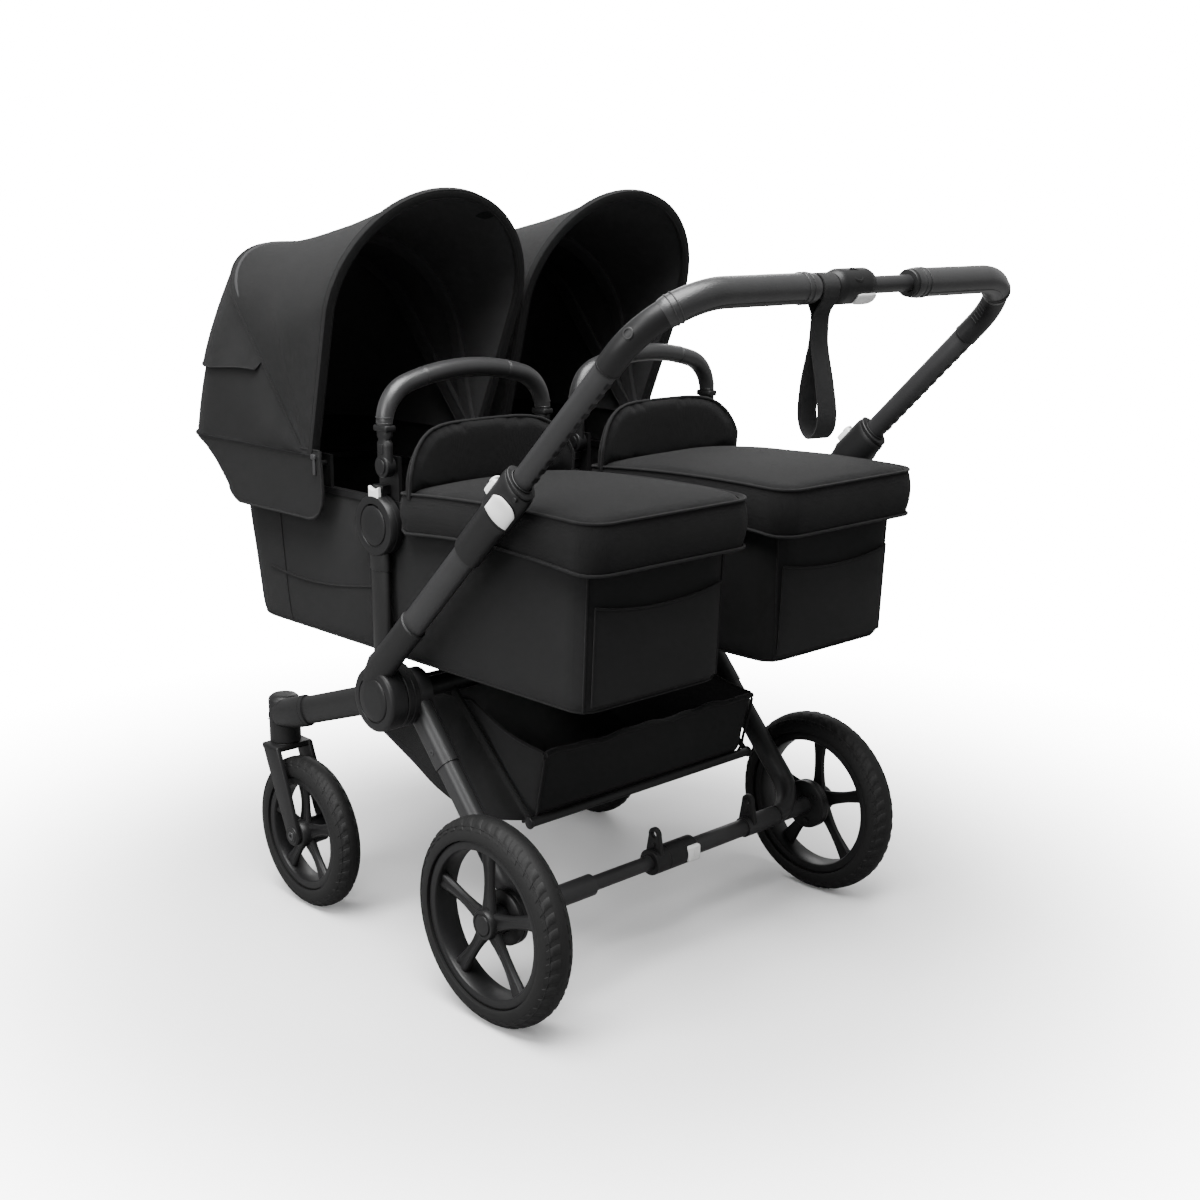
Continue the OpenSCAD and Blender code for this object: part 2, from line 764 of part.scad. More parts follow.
module cot_brackets(k) {
  mirror([k < 0 ? 1 : 0, 0, 0]) {
    translate([cot_half_w - 4, hood_y - 13, cot_rim_z + 4]) cube([5.3, 26, hood_z - cot_rim_z + 9]);
    rod_x(cot_half_w, hood_y, hood_z, hood_pin_out - cot_half_w, pin_d / 2);
    translate([cot_half_w - 4, clamp_y - 15, cot_rim_z + 4]) cube([6, 46, carry_pivot_z - cot_rim_z + 9]);
    translate([cot_half_w, clamp_y - tongue_d / 2, clamp_z + clamp_r + 1])
      cube([tongue_off + tongue_w / 2 - cot_half_w, tongue_d, 12]);
    translate([tongue_off - tongue_w / 2, clamp_y - tongue_d / 2, clamp_z + 8])
      cube([tongue_w, tongue_d, clamp_r + 4]);
    rod_x(cot_half_w, cot_seat_y, carry_pivot_z, carry_off + 6 - cot_half_w, pin_d / 2);
  }
}

// Padded lid over the foot half, with its upright wind flap
module apron() {
  color("#161616") {
    difference() {
      hull() {
        translate([0, 0, lid_low_z]) linear_extrude(0.1) lid_plan(0);
        translate([0, 0, lid_low_z + 50]) linear_extrude(0.1) lid_plan(0);
        translate([0, 0, lid_top_z - 3]) linear_extrude(3) lid_plan(16);
        translate([cot_x - 110, at(lid_front + 12), lid_crown_z - 4]) cube([220, 60, 4]);
      }
      translate([0, 0, lid_low_z - 1]) linear_extrude(frame_top + 1.3 - lid_low_z)
        cot_plan(cot_half_w + 3.6, cot_back + 15.6, 200, 22, 40);
    }
    intersection() {
      translate([cot_x, at(lid_front + flap_r), lid_crown_z - 40]) difference() {
        cylinder(h = 200, r = flap_r, $fn = 128);
        translate([0, 0, -1]) cylinder(h = 202, r = flap_r - 7, $fn = 128);
      }
      translate([cot_x, at(lid_front + 100), lid_crown_z - 2]) rotate([90, 0, 0]) linear_extrude(110)
        flap_outline();
    }
  }
}

module lid_plan(g) {
  translate([cot_x - lid_half_w + g, at(lid_front + g)])
    square([2 * (lid_half_w - g), lid_back - lid_front - 2 * g]);
}

// Front view of the wind flap: a half-round-shouldered panel
module flap_outline() {
  translate([-138, 0]) square([276, 6]);
  translate([0, 6]) intersection() {
    union() {
      for (k = [-1, 1]) translate([k * 88, 0]) circle(r = 50);
      translate([-88, 0]) square([176, 58]);
    }
    translate([-138, 0]) square([276, 58]);
  }
}

// Carry handle: oval uprights on the pivots, round corners and a leather-covered arch
module carry_handle() {
  corner_z = carry_top_z - carry_arc_r + (carry_arc_r - carry_corner_r) * cos(carry_turn);
  color("#151515") translate([cot_x, cot_seat_y, 0]) {
    for (k = [0, 1]) mirror([k, 0, 0]) {
      difference() {
        union() {
          translate([carry_off, 0, carry_pivot_z]) oval_bar(16, 30, corner_z - carry_pivot_z);
          rod_x(carry_off - 8, 0, carry_pivot_z, 16, 15);
        }
        rod_x(carry_off - 9, 0, carry_pivot_z, 18 - 3, pin_d / 2 + run_gap);
      }
      translate([carry_off, 0, corner_z]) quarter_bend(carry_corner_r, 90 - carry_turn) oval(16, 30);
    }
    translate([0, 0, carry_top_z - carry_arc_r]) rotate([90, 0, 0])
      rotate([0, 0, 90 - carry_turn]) rotate_extrude(angle = 2 * carry_turn, $fn = 180)
        translate([carry_arc_r, 0]) circle(r = 14.5);
  }
}

// ---- Canopy ----
// Children are drawn in a plane that leans at angle a, with local Z along the bow
module bow_plane(a) {
  translate([cot_x, hood_y, hood_z]) rotate([a - 90, 0, 0]) children();
}

// A bow: two legs from the pivot eyes and a half-round top
module bow(foot, half_w, reach, a) {
  color("#202020") difference() {
    bow_plane(a) {
      for (k = [0, 1]) mirror([k, 0, 0]) {
        rotate([0, 90, 0]) translate([0, 0, foot - eye_half]) cylinder(h = 2 * eye_half, r = eye_r);
        bow_leg(foot, half_w, reach - half_w);
        translate([half_w, 0, reach - half_w]) sphere(r = bow_r + ball_extra);
      }
      translate([0, 0, reach - half_w]) rotate([90, 0, 0])
        rotate_extrude(angle = 180, $fn = 96) translate([half_w, 0]) circle(r = bow_r);
    }
    rod_x(0, hood_y, hood_z, 600, pin_d / 2 + run_gap);
  }
}

module bow_leg(foot, half_w, len) {
  lean = atan2(half_w - foot, len);
  translate([foot, 0, 0]) rotate([0, lean, 0]) cylinder(h = norm([half_w - foot, len]), r = bow_r);
}

module rear_bow() { bow(rear_foot, 150, 398, rear_bow_angle); }
module mid_bow() { bow(mid_foot, 160, 340, mid_bow_angle); }
module front_bow() {
  bow(front_foot, front_bow_half_w, front_bow_reach, hood_front_angle + front_bow_lag);
}

// Arch-shaped plate in a bow's plane, from its base up to reach, drawn in by g
module arch_plate(half_w, reach, g, a) {
  bow_plane(a) rotate([90, 0, 0]) linear_extrude(0.02) {
    translate([0, reach - half_w]) circle(r = half_w - g, $fn = 40);
    polygon([[-hood_base_half_w + g, hood_base], [hood_base_half_w - g, hood_base],
             [half_w - g, reach - half_w], [-half_w + g, reach - half_w]]);
  }
}

module mouth_plate(g, lift) {
  arch_plate(hood_half_w, hood_front_reach, g, hood_front_angle - lift);
}

// Outer form of the canopy, drawn in by g; lift opens the mouth and the lower edge
module hood_form(g, lift) {
  if (lift > 0) hull() {
    mouth_plate(g, 0);
    mouth_plate(g, lift);
  }
  hull() {
    mouth_plate(g, 0);
    arch_plate(mid_half_w, mid_reach, g, mid_bow_angle);
  }
  hull() {
    arch_plate(mid_half_w, mid_reach, g, mid_bow_angle);
    arch_plate(rear_half_w, rear_reach, g, rear_bow_angle);
  }
  hull() {
    arch_plate(rear_half_w, rear_reach, g, rear_bow_angle);
    translate([0, 0, band_z]) linear_extrude(0.02) skirt_plan(g, hood_back, lift);
  }
  hull() {
    translate([0, 0, band_z - 0.02]) linear_extrude(0.04) skirt_plan(g, hood_back, lift);
    translate([0, 0, skirt_low_z - lift]) linear_extrude(0.02) skirt_plan(g, skirt_back, lift);
  }
}

module skirt_plan(g, head, lift) {
  intersection() {
    cot_plan(skirt_half_w - g, 100, head - g, 40, 105 - g);
    translate([-500, at(-700)]) square([1400, 700 - 162 + lift * 2]);
  }
}

module canopy() {
  color("#1a1a1a") difference() {
    hood_form(0, 0);
    hood_form(hood_skin, mouth_lift);
  }
}

module left_cot_shell() { cot_shell(); }
module right_cot_shell() { mirror([1, 0, 0]) cot_shell(); }
module left_cot_frame() { cot_frame(); }
module right_cot_frame() { mirror([1, 0, 0]) cot_frame(); }
module left_mattress() { mattress(); }
module right_mattress() { mirror([1, 0, 0]) mattress(); }
module left_apron() { apron(); }
module right_apron() { mirror([1, 0, 0]) apron(); }
module left_carry_handle() { carry_handle(); }
module right_carry_handle() { mirror([1, 0, 0]) carry_handle(); }
module left_rear_bow() { rear_bow(); }
module right_rear_bow() { mirror([1, 0, 0]) rear_bow(); }
module left_mid_bow() { mid_bow(); }
module right_mid_bow() { mirror([1, 0, 0]) mid_bow(); }
module left_front_bow() { front_bow(); }
module right_front_bow() { mirror([1, 0, 0]) front_bow(); }
module left_canopy() { canopy(); }
module right_canopy() { mirror([1, 0, 0]) canopy(); }

front_arms();
hinge_housings();
cot_posts();
cot_clamps();
cross_tube();
swivel_housings();
basket();
basket_frame();
left_outer_button();
left_inner_button();
right_inner_button();
right_outer_button();
rear_legs();
axle_tubes();
axle_connector();
axle_latch();
brake_drums();
left_rear_tyre();
left_rear_rim();
right_rear_tyre();
right_rear_rim();
left_fork();
right_fork();
left_swivel_lock();
right_swivel_lock();
left_front_tyre();
left_front_rim();
right_front_tyre();
right_front_rim();
handle_hubs();
outer_tubes();
height_collars();
left_height_lever();
right_height_lever();
left_fold_trigger();
right_fold_trigger();
inner_tubes();
handle_elbows();
handle_grips();
handlebar_clamp();
clamp_lever();
wrist_strap();
left_cot_shell();
left_cot_frame();
left_mattress();
left_apron();
left_carry_handle();
left_rear_bow();
left_mid_bow();
left_front_bow();
left_canopy();
right_cot_shell();
right_cot_frame();
right_mattress();
right_apron();
right_carry_handle();
right_rear_bow();
right_mid_bow();
right_front_bow();
right_canopy();
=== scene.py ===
import bpy
import math
from mathutils import Matrix, Vector, noise


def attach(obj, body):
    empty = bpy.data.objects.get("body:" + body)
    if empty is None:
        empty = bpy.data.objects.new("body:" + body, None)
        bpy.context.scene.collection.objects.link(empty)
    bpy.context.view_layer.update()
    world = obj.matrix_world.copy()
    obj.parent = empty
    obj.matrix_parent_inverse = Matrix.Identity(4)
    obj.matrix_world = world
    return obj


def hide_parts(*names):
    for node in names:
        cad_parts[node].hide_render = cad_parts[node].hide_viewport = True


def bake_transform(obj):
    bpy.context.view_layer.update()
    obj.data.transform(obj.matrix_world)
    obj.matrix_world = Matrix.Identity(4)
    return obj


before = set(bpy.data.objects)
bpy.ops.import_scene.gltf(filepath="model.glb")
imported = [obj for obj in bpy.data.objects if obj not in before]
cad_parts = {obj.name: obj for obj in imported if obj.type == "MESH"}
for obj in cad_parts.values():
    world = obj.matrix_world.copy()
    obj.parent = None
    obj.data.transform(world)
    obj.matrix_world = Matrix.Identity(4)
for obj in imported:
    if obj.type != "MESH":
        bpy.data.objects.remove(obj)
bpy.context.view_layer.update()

# Sizes shared with the frame, in metres
HINGE_Y = -0.0068
HINGE_Z = 0.418
HANDLE_ANGLE = math.radians(44.2)
HANDLE_X = 0.355
HANDLE_LIFT = 0.0305
COT_X = 0.181
TAU = 2 * math.pi


def at(y):
    """Distance behind the main hinge, as a frame coordinate."""
    return HINGE_Y + y


UP_TUBE = Vector((0, math.cos(HANDLE_ANGLE), math.sin(HANDLE_ANGLE)))
OFF_TUBE = Vector((0, -math.sin(HANDLE_ANGLE), math.cos(HANDLE_ANGLE)))


def on_tube(s, off=0.0, x=HANDLE_X):
    """Point at station s along the left handle tube, off above its line."""
    return Vector((x, HINGE_Y, HINGE_Z)) + UP_TUBE * s + OFF_TUBE * (HANDLE_LIFT + off)


# ---- Working with objects ----
def deselect():
    bpy.ops.object.select_all(action="DESELECT")


def only(piece):
    deselect()
    piece.select_set(True)
    bpy.context.view_layer.objects.active = piece


def settle(piece):
    only(piece)
    bpy.ops.object.transform_apply(location=True, rotation=True, scale=True)
    return piece


def modify(piece, kind, **values):
    only(piece)
    modifier = piece.modifiers.new(kind.title(), kind)
    for key, value in values.items():
        setattr(modifier, key, value)
    bpy.ops.object.modifier_apply(modifier=modifier.name)
    return piece


def bevel(piece, width, segments=3, angle=30):
    return modify(piece, "BEVEL", width=width, segments=segments, limit_method="ANGLE",
                  angle_limit=math.radians(angle), harden_normals=False)


def added(name):
    piece = bpy.context.active_object
    piece.name = name
    piece.data.name = name
    return piece


def block(name, low, high, edge=0.001, segments=3):
    """A box between two corners with rounded edges."""
    deselect()
    low, high = Vector(low), Vector(high)
    bpy.ops.mesh.primitive_cube_add(size=1, location=(low + high) / 2)
    piece = added(name)
    piece.scale = high - low
    settle(piece)
    return bevel(piece, edge, segments)


def drum(name, centre, axis, length, radius, edge=0.001, sides=64, segments=3):
    """A cylinder that starts at centre and runs along axis, with rounded rims."""
    deselect()
    axis = Vector(axis).normalized()
    bpy.ops.mesh.primitive_cylinder_add(vertices=sides, radius=radius, depth=length)
    piece = added(name)
    piece.matrix_world = (Matrix.Translation(Vector(centre) + axis * (length / 2))
                          @ axis.to_track_quat("Z", "Y").to_matrix().to_4x4())
    settle(piece)
    return bevel(piece, edge, segments, 50)


def mesh_piece(name, points, faces, edges=()):
    mesh = bpy.data.meshes.new(name)
    mesh.from_pydata([tuple(p) for p in points], list(edges), [tuple(f) for f in faces])
    mesh.validate()
    piece = bpy.data.objects.new(name, mesh)
    bpy.context.scene.collection.objects.link(piece)
    return piece


def outward(piece):
    only(piece)
    bpy.ops.object.mode_set(mode="EDIT")
    bpy.ops.mesh.select_all(action="SELECT")
    bpy.ops.mesh.remove_doubles(threshold=0.00001)
    bpy.ops.mesh.normals_make_consistent(inside=False)
    bpy.ops.object.mode_set(mode="OBJECT")
    return piece


def lathe(name, profile, centre, axis=(1, 0, 0), steps=96):
    """Spins a profile of (distance along axis, radius) round the axis."""
    axis = Vector(axis).normalized()
    side = axis.orthogonal().normalized()
    centre = Vector(centre)
    points = [centre + axis * a + side * r for a, r in profile]
    piece = mesh_piece(name, points, [], [(i, i + 1) for i in range(len(points) - 1)])
    only(piece)
    bpy.ops.object.mode_set(mode="EDIT")
    bpy.ops.mesh.select_all(action="SELECT")
    bpy.ops.mesh.spin(steps=steps, angle=TAU, center=centre, axis=axis)
    bpy.ops.object.mode_set(mode="OBJECT")
    return outward(piece)


def extruded(name, outline, along, edge=0.0, segments=3):
    """A flat outline of 3-D points, extruded by a vector and rounded."""
    along = Vector(along)
    n = len(outline)
    points = [Vector(p) for p in outline] + [Vector(p) + along for p in outline]
    faces = [list(range(n))[::-1], list(range(n, 2 * n))]
    faces += [(i, (i + 1) % n, (i + 1) % n + n, i + n) for i in range(n)]
    piece = outward(mesh_piece(name, points, faces))
    return bevel(piece, edge, segments) if edge else piece


def pipe(name, points, radius, closed=False, resolution=4):
    """A round cord of constant radius through points."""
    deselect()
    curve = bpy.data.curves.new(name, "CURVE")
    curve.dimensions = "3D"
    curve.bevel_depth = radius
    curve.bevel_resolution = resolution
    curve.use_fill_caps = not closed
    spline = curve.splines.new("POLY")
    spline.points.add(len(points) - 1)
    for knot, p in zip(spline.points, points):
        knot.co = (*p, 1)
    spline.use_cyclic_u = closed
    piece = bpy.data.objects.new(name, curve)
    bpy.context.scene.collection.objects.link(piece)
    only(piece)
    bpy.ops.object.convert(target="MESH")
    return added(name)


def loft(name, rows, closed=False, caps=False):
    """A skin over rows of equally many points, with a UV map in metres."""
    n = len(rows[0])
    points = [p for row in rows for p in row]
    faces = []
    span = n if closed else n - 1
    for i in range(len(rows) - 1):
        for j in range(span):
            k = (j + 1) % n
            faces.append((i * n + j, i * n + k, (i + 1) * n + k, (i + 1) * n + j))
    if caps:
        faces.append(tuple(range(n))[::-1])
        faces.append(tuple(range((len(rows) - 1) * n, len(rows) * n)))
    piece = mesh_piece(name, points, faces)
    across = [0.0]
    middle = rows[len(rows) // 2]
    for j in range(1, n + 1):
        across.append(across[-1] + (Vector(middle[j % n]) - Vector(middle[j - 1])).length)
    down = [0.0]
    for i in range(1, len(rows)):
        down.append(down[-1] + (Vector(rows[i][n // 2]) - Vector(rows[i - 1][n // 2])).length)
    layer = piece.data.uv_layers.new(name="UVMap")
    for face in piece.data.polygons:
        wrap = any(v % n == n - 1 for v in face.vertices) and any(v % n == 0 for v in face.vertices)
        for corner in face.loop_indices:
            i, j = divmod(piece.data.loops[corner].vertex_index, n)
            j = n if wrap and j == 0 and len(face.vertices) == 4 else j
            layer.data[corner].uv = (across[j], down[i])
    return piece


def smooth_path(points, count, closed=False):
    """Catmull-Rom points through the given ones, evenly spread along the curve."""
    points = [Vector(p) for p in points]
    n = len(points)
    fine = []
    spans = n if closed else n - 1
    for i in range(spans):
        if closed:
            a, b, c, d = (points[(i + k) % n] for k in (-1, 0, 1, 2))
        else:
            b, c = points[i], points[i + 1]
            a = points[i - 1] if i > 0 else 2 * b - c
            d = points[i + 2] if i + 2 < n else 2 * c - b
        for k in range(16):
            t = k / 16
            fine.append(0.5 * (2 * b + (c - a) * t + (2 * a - 5 * b + 4 * c - d) * t * t
                               + (3 * b - a - 3 * c + d) * t ** 3))
    fine.append(points[0].copy() if closed else points[-1].copy())
    lengths = [0.0]
    for p, q in zip(fine, fine[1:]):
        lengths.append(lengths[-1] + (q - p).length)
    out = []
    k = 0
    steps = count if closed else count - 1
    for i in range(count):
        want = lengths[-1] * i / steps
        while k < len(fine) - 2 and lengths[k + 1] < want:
            k += 1
        gap = lengths[k + 1] - lengths[k]
        out.append(fine[k].lerp(fine[k + 1], (want - lengths[k]) / gap if gap else 0))
    return out


def join(name, pieces):
    deselect()
    for piece in pieces:
        piece.select_set(True)
    bpy.context.view_layer.objects.active = pieces[0]
    if len(pieces) > 1:
        bpy.ops.object.join()
    return added(name)


def mirrored(piece, name):
    """A mirror image across the middle of the pram, with its faces turned back out."""
    mesh = piece.data.copy()
    mesh.transform(Matrix.Scale(-1, 4, (1, 0, 0)))
    mesh.flip_normals()
    copy = bpy.data.objects.new(name, mesh)
    mesh.name = name
    bpy.context.scene.collection.objects.link(copy)
    return copy


def both_sides(piece):
    """The piece and its mirror image as one piece."""
    name = piece.name
    return join(name, [piece, mirrored(piece, name + "_twin")])


def turned(piece, centre, axis, angle, name):
    """A copy turned about an axis."""
    copy = bpy.data.objects.new(name, piece.data.copy())
    centre = Vector(centre)
    copy.data.transform(Matrix.Translation(centre) @ Matrix.Rotation(angle, 4, axis)
                        @ Matrix.Translation(-centre))
    bpy.context.scene.collection.objects.link(copy)
    return copy


def place(piece, body, slot, finish, *nodes, angle=35):
    """Shades a finished piece, gives it its finish and ties it to its body."""
    settle(piece)
    if angle is None:
        bpy.ops.object.shade_smooth()
    else:
        bpy.ops.object.shade_smooth_by_angle(angle=math.radians(angle))
    piece.data.materials.clear()
    piece.data.materials.append(finish)
    if piece.data.polygons:
        piece.data.polygons.foreach_set("material_index", [0] * len(piece.data.polygons))
    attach(piece, body)
    if nodes:
        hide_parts(*nodes)
    return piece


def place_pair(piece, body, slot, finish, *nodes, angle=35):
    """Places a left piece and its mirror image on the right."""
    right = mirrored(piece, piece.name.replace("left_", "right_"))
    place(right, body.replace("left_", "right_"), slot, finish,
          *[n.replace("left_", "right_") for n in nodes], angle=angle)
    place(piece, body, slot, finish, *nodes, angle=angle)
    return piece, right


# ---- Finishes ----
class Finish:
    """A procedural finish: a Principled shader with small helpers for its nodes."""

    def __init__(self, name, tone, roughness, **sockets):
        self.material = bpy.data.materials.new(name)
        self.material.use_nodes = True
        self.nodes = self.material.node_tree.nodes
        self.links = self.material.node_tree.links
        self.shader = self.nodes["Principled BSDF"]
        self.shader.inputs["Base Color"].default_value = (*tone, 1)
        self.shader.inputs["Roughness"].default_value = roughness
        for key, value in sockets.items():
            self.shader.inputs[key.replace("_", " ")].default_value = value
        self.place = self.nodes.new("ShaderNodeTexCoord").outputs["Object"]

    def use_uv(self):
        self.place = self.nodes.new("ShaderNodeUVMap").outputs["UV"]

    def noise(self, scale, detail=3.0, roughness=0.5):
        node = self.nodes.new("ShaderNodeTexNoise")
        node.inputs["Scale"].default_value = scale
        node.inputs["Detail"].default_value = detail
        node.inputs["Roughness"].default_value = roughness
        self.links.new(self.place, node.inputs["Vector"])
        return node.outputs["Fac"]

    def cells(self, scale, feature="F1"):
        node = self.nodes.new("ShaderNodeTexVoronoi")
        node.feature = feature
        node.inputs["Scale"].default_value = scale
        self.links.new(self.place, node.inputs["Vector"])
        return node.outputs["Distance"]

    def bands(self, scale, direction, distortion=0.0):
        node = self.nodes.new("ShaderNodeTexWave")
        node.bands_direction = direction
        node.inputs["Scale"].default_value = scale
        node.inputs["Distortion"].default_value = distortion
        self.links.new(self.place, node.inputs["Vector"])
        return node.outputs["Fac"]

    def combine(self, a, b, operation="MULTIPLY"):
        node = self.nodes.new("ShaderNodeMath")
        node.operation = operation
        for socket, value in zip(node.inputs, (a, b)):
            if isinstance(value, (int, float)):
                socket.default_value = value
            else:
                self.links.new(value, socket)
        return node.outputs[0]

    def spread(self, value, low, high):
        node = self.nodes.new("ShaderNodeMapRange")
        node.inputs["To Min"].default_value = low
        node.inputs["To Max"].default_value = high
        self.links.new(value, node.inputs["Value"])
        return node.outputs[0]

    def tones(self, value, dark, light):
        node = self.nodes.new("ShaderNodeMix")
        node.data_type = "RGBA"
        self.links.new(value, node.inputs["Factor"])
        node.inputs["A"].default_value = (*dark, 1)
        node.inputs["B"].default_value = (*light, 1)
        self.links.new(node.outputs["Result"], self.shader.inputs["Base Color"])

    def rough(self, value, low, high):
        self.links.new(self.spread(value, low, high), self.shader.inputs["Roughness"])

    def bump(self, value, depth, strength=1.0):
        node = self.nodes.new("ShaderNodeBump")
        node.inputs["Distance"].default_value = depth
        node.inputs["Strength"].default_value = strength
        self.links.new(value, node.inputs["Height"])
        self.links.new(node.outputs["Normal"], self.shader.inputs["Normal"])


def grey(value, blue=1.03):
    return (value, value, value * blue)


def cloth_finish(name, tone, pitch, roughness=0.85, sheen=0.04, uv=True, depth=0.00025):
    """Plain-woven cloth: warp and weft threads, slubs and slow changes of tone."""
    cloth = Finish(name, grey(tone), roughness, Sheen_Weight=sheen, Sheen_Roughness=0.5,
                   Specular_IOR_Level=0.12)
    if uv:
        cloth.use_uv()
    threads = 1 / (pitch * TAU) * math.pi
    warp = cloth.bands(threads, "X", 0.4)
    weft = cloth.bands(threads, "Y", 0.4)
    weave = cloth.combine(warp, weft, "ADD")
    if not uv:
        weave = cloth.combine(weave, cloth.bands(threads, "Z", 0.4), "ADD")
    fuzz = cloth.noise(1800, 4)
    slow = cloth.noise(9, 3)
    tone_mix = cloth.combine(cloth.combine(slow, 0.6), cloth.combine(fuzz, 0.4), "ADD")
    cloth.tones(tone_mix, grey(tone * 0.62), grey(tone * 1.5))
    cloth.rough(fuzz, roughness - 0.08, min(1.0, roughness + 0.08))
    cloth.bump(cloth.combine(weave, cloth.combine(fuzz, 0.5), "ADD"), depth, 0.7)
    return cloth.material


def mesh_cloth_finish(name, tone):
    """Open warp-knit mesh: a grid of small dark holes."""
    cloth = Finish(name, grey(tone), 0.7, Sheen_Weight=0.03, Specular_IOR_Level=0.15)
    cloth.use_uv()
    holes = cloth.cells(420)
    cloth.tones(holes, grey(tone * 0.25), grey(tone * 2.2))
    cloth.rough(holes, 0.55, 0.9)
    cloth.bump(holes, 0.0006, 0.8)
    return cloth.material


def plastic_finish(name, tone, roughness, grain=2600, depth=0.00006, coat=0.0, blue=1.03):
    """Moulded plastic with a fine spark-eroded grain and faint handling marks."""
    plastic = Finish(name, grey(tone, blue), roughness, Coat_Weight=coat, Specular_IOR_Level=0.22)
    fine = plastic.noise(grain, 2)
    marks = plastic.noise(35, 4, 0.6)
    plastic.tones(marks, grey(tone * 0.85, blue), grey(tone * 1.15, blue))
    plastic.rough(marks, roughness - 0.05, roughness + 0.07)
    plastic.bump(fine, depth, 0.5)
    return plastic.material


def painted_finish(name, tone, roughness):
    """Powder coat: a very fine orange-peel skin over drawn tube."""
    paint = Finish(name, grey(tone), roughness, Specular_IOR_Level=0.3)
    peel = paint.noise(900, 3)
    slow = paint.noise(22, 3)
    paint.tones(slow, grey(tone * 0.85), grey(tone * 1.18))
    paint.rough(peel, roughness - 0.06, roughness + 0.08)
    paint.bump(peel, 0.00005, 0.5)
    return paint.material


def leather_finish(name, tone, roughness):
    """Fine-grained leather: pebbled cells, creases and slightly polished high spots."""
    hide = Finish(name, grey(tone), roughness, Sheen_Weight=0.05, Specular_IOR_Level=0.45)
    pebbles = hide.cells(750)
    creases = hide.cells(310, "DISTANCE_TO_EDGE")
    wear = hide.noise(30, 4, 0.6)
    grain = hide.combine(pebbles, hide.combine(creases, 1.5), "ADD")
    hide.tones(wear, grey(tone * 0.75), grey(tone * 1.35))
    hide.rough(wear, roughness - 0.08, roughness + 0.1)
    hide.bump(grain, 0.0003, 0.45)
    return hide.material


def rubber_finish(name, tone, roughness):
    rubber = Finish(name, grey(tone, 1.0), roughness, Specular_IOR_Level=0.25)
    dust = rubber.noise(60, 5, 0.65)
    fine = rubber.noise(1500, 2)
    rubber.tones(dust, grey(tone * 0.8, 1.0), grey(tone * 1.35, 1.0))
    rubber.rough(dust, roughness - 0.08, roughness + 0.08)
    rubber.bump(fine, 0.0001, 0.5)
    return rubber.material


def webbing_finish(name, tone):
    """Ribbed webbing: cords along the band crossed by fine picks."""
    band = Finish(name, grey(tone), 0.8, Sheen_Weight=0.05, Specular_IOR_Level=0.2)
    band.use_uv()
    ribs = band.bands(300, "X")
    picks = band.bands(520, "Y")
    height = band.combine(ribs, band.combine(picks, 0.5), "ADD")
    band.tones(band.noise(400, 3), grey(tone * 0.7), grey(tone * 1.5))
    band.bump(height, 0.0003, 0.8)
    return band.material


CANOPY_CLOTH = cloth_finish("canopy_cloth", 0.0062, 0.0011, 0.8, 0.032)
# Painted light: the lining's tone is lifted about five times above the outer cloth, standing in for fill light inside
# the shaded hood
LINING_CLOTH = cloth_finish("lining_cloth", 0.0340, 0.0009, 0.9, 0.03)
SHELL_CLOTH = cloth_finish("shell_cloth", 0.0070, 0.0012, 0.85, 0.04)
LID_CLOTH = cloth_finish("lid_cloth", 0.0042, 0.0011, 0.85, 0.030, uv=False)
PIPING_CLOTH = cloth_finish("piping_cloth", 0.006, 0.0011, 0.75, 0.04, uv=False)
BASKET_CLOTH = cloth_finish("basket_cloth", 0.0110, 0.0012, 0.8, 0.03)
BASKET_MESH = mesh_cloth_finish("basket_mesh", 0.007)
MATTRESS_CLOTH = cloth_finish("mattress_cloth", 0.03, 0.0016, 0.9, 0.3, uv=False)
BLACK_PLASTIC = plastic_finish("black_plastic", 0.0075, 0.42)
# Painted shade: a darker black for the tube notches and elbow vents, dark slabs that stand in for the shade inside
# slots that are not cut
SLOT_SHADE_PLASTIC = plastic_finish("slot_shade_plastic", 0.006, 0.5)
SATIN_PLASTIC = plastic_finish("satin_plastic", 0.012, 0.33, 2600, 0.00004)
RIM_PLASTIC = plastic_finish("rim_plastic", 0.0075, 0.38, 2000, 0.00005)
WHITE_PLASTIC = plastic_finish("white_plastic", 0.72, 0.32, 2600, 0.00003, 0.15, 0.99)
TUBE_PAINT = painted_finish("tube_paint", 0.0175, 0.4)
ARM_PAINT = painted_finish("arm_paint", 0.0050, 0.45)
GRIP_LEATHER = leather_finish("grip_leather", 0.0130, 0.34)
TYRE_RUBBER = rubber_finish("tyre_rubber", 0.0045, 0.66)
STRAP_WEBBING = webbing_finish("strap_webbing", 0.009)
BOLT_STEEL = plastic_finish("bolt_steel", 0.03, 0.3, 900, 0.00003)


def dress(node, finish):
    """Gives a CAD node that stays on show its finish."""
    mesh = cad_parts[node].data
    mesh.materials.clear()
    mesh.materials.append(finish)


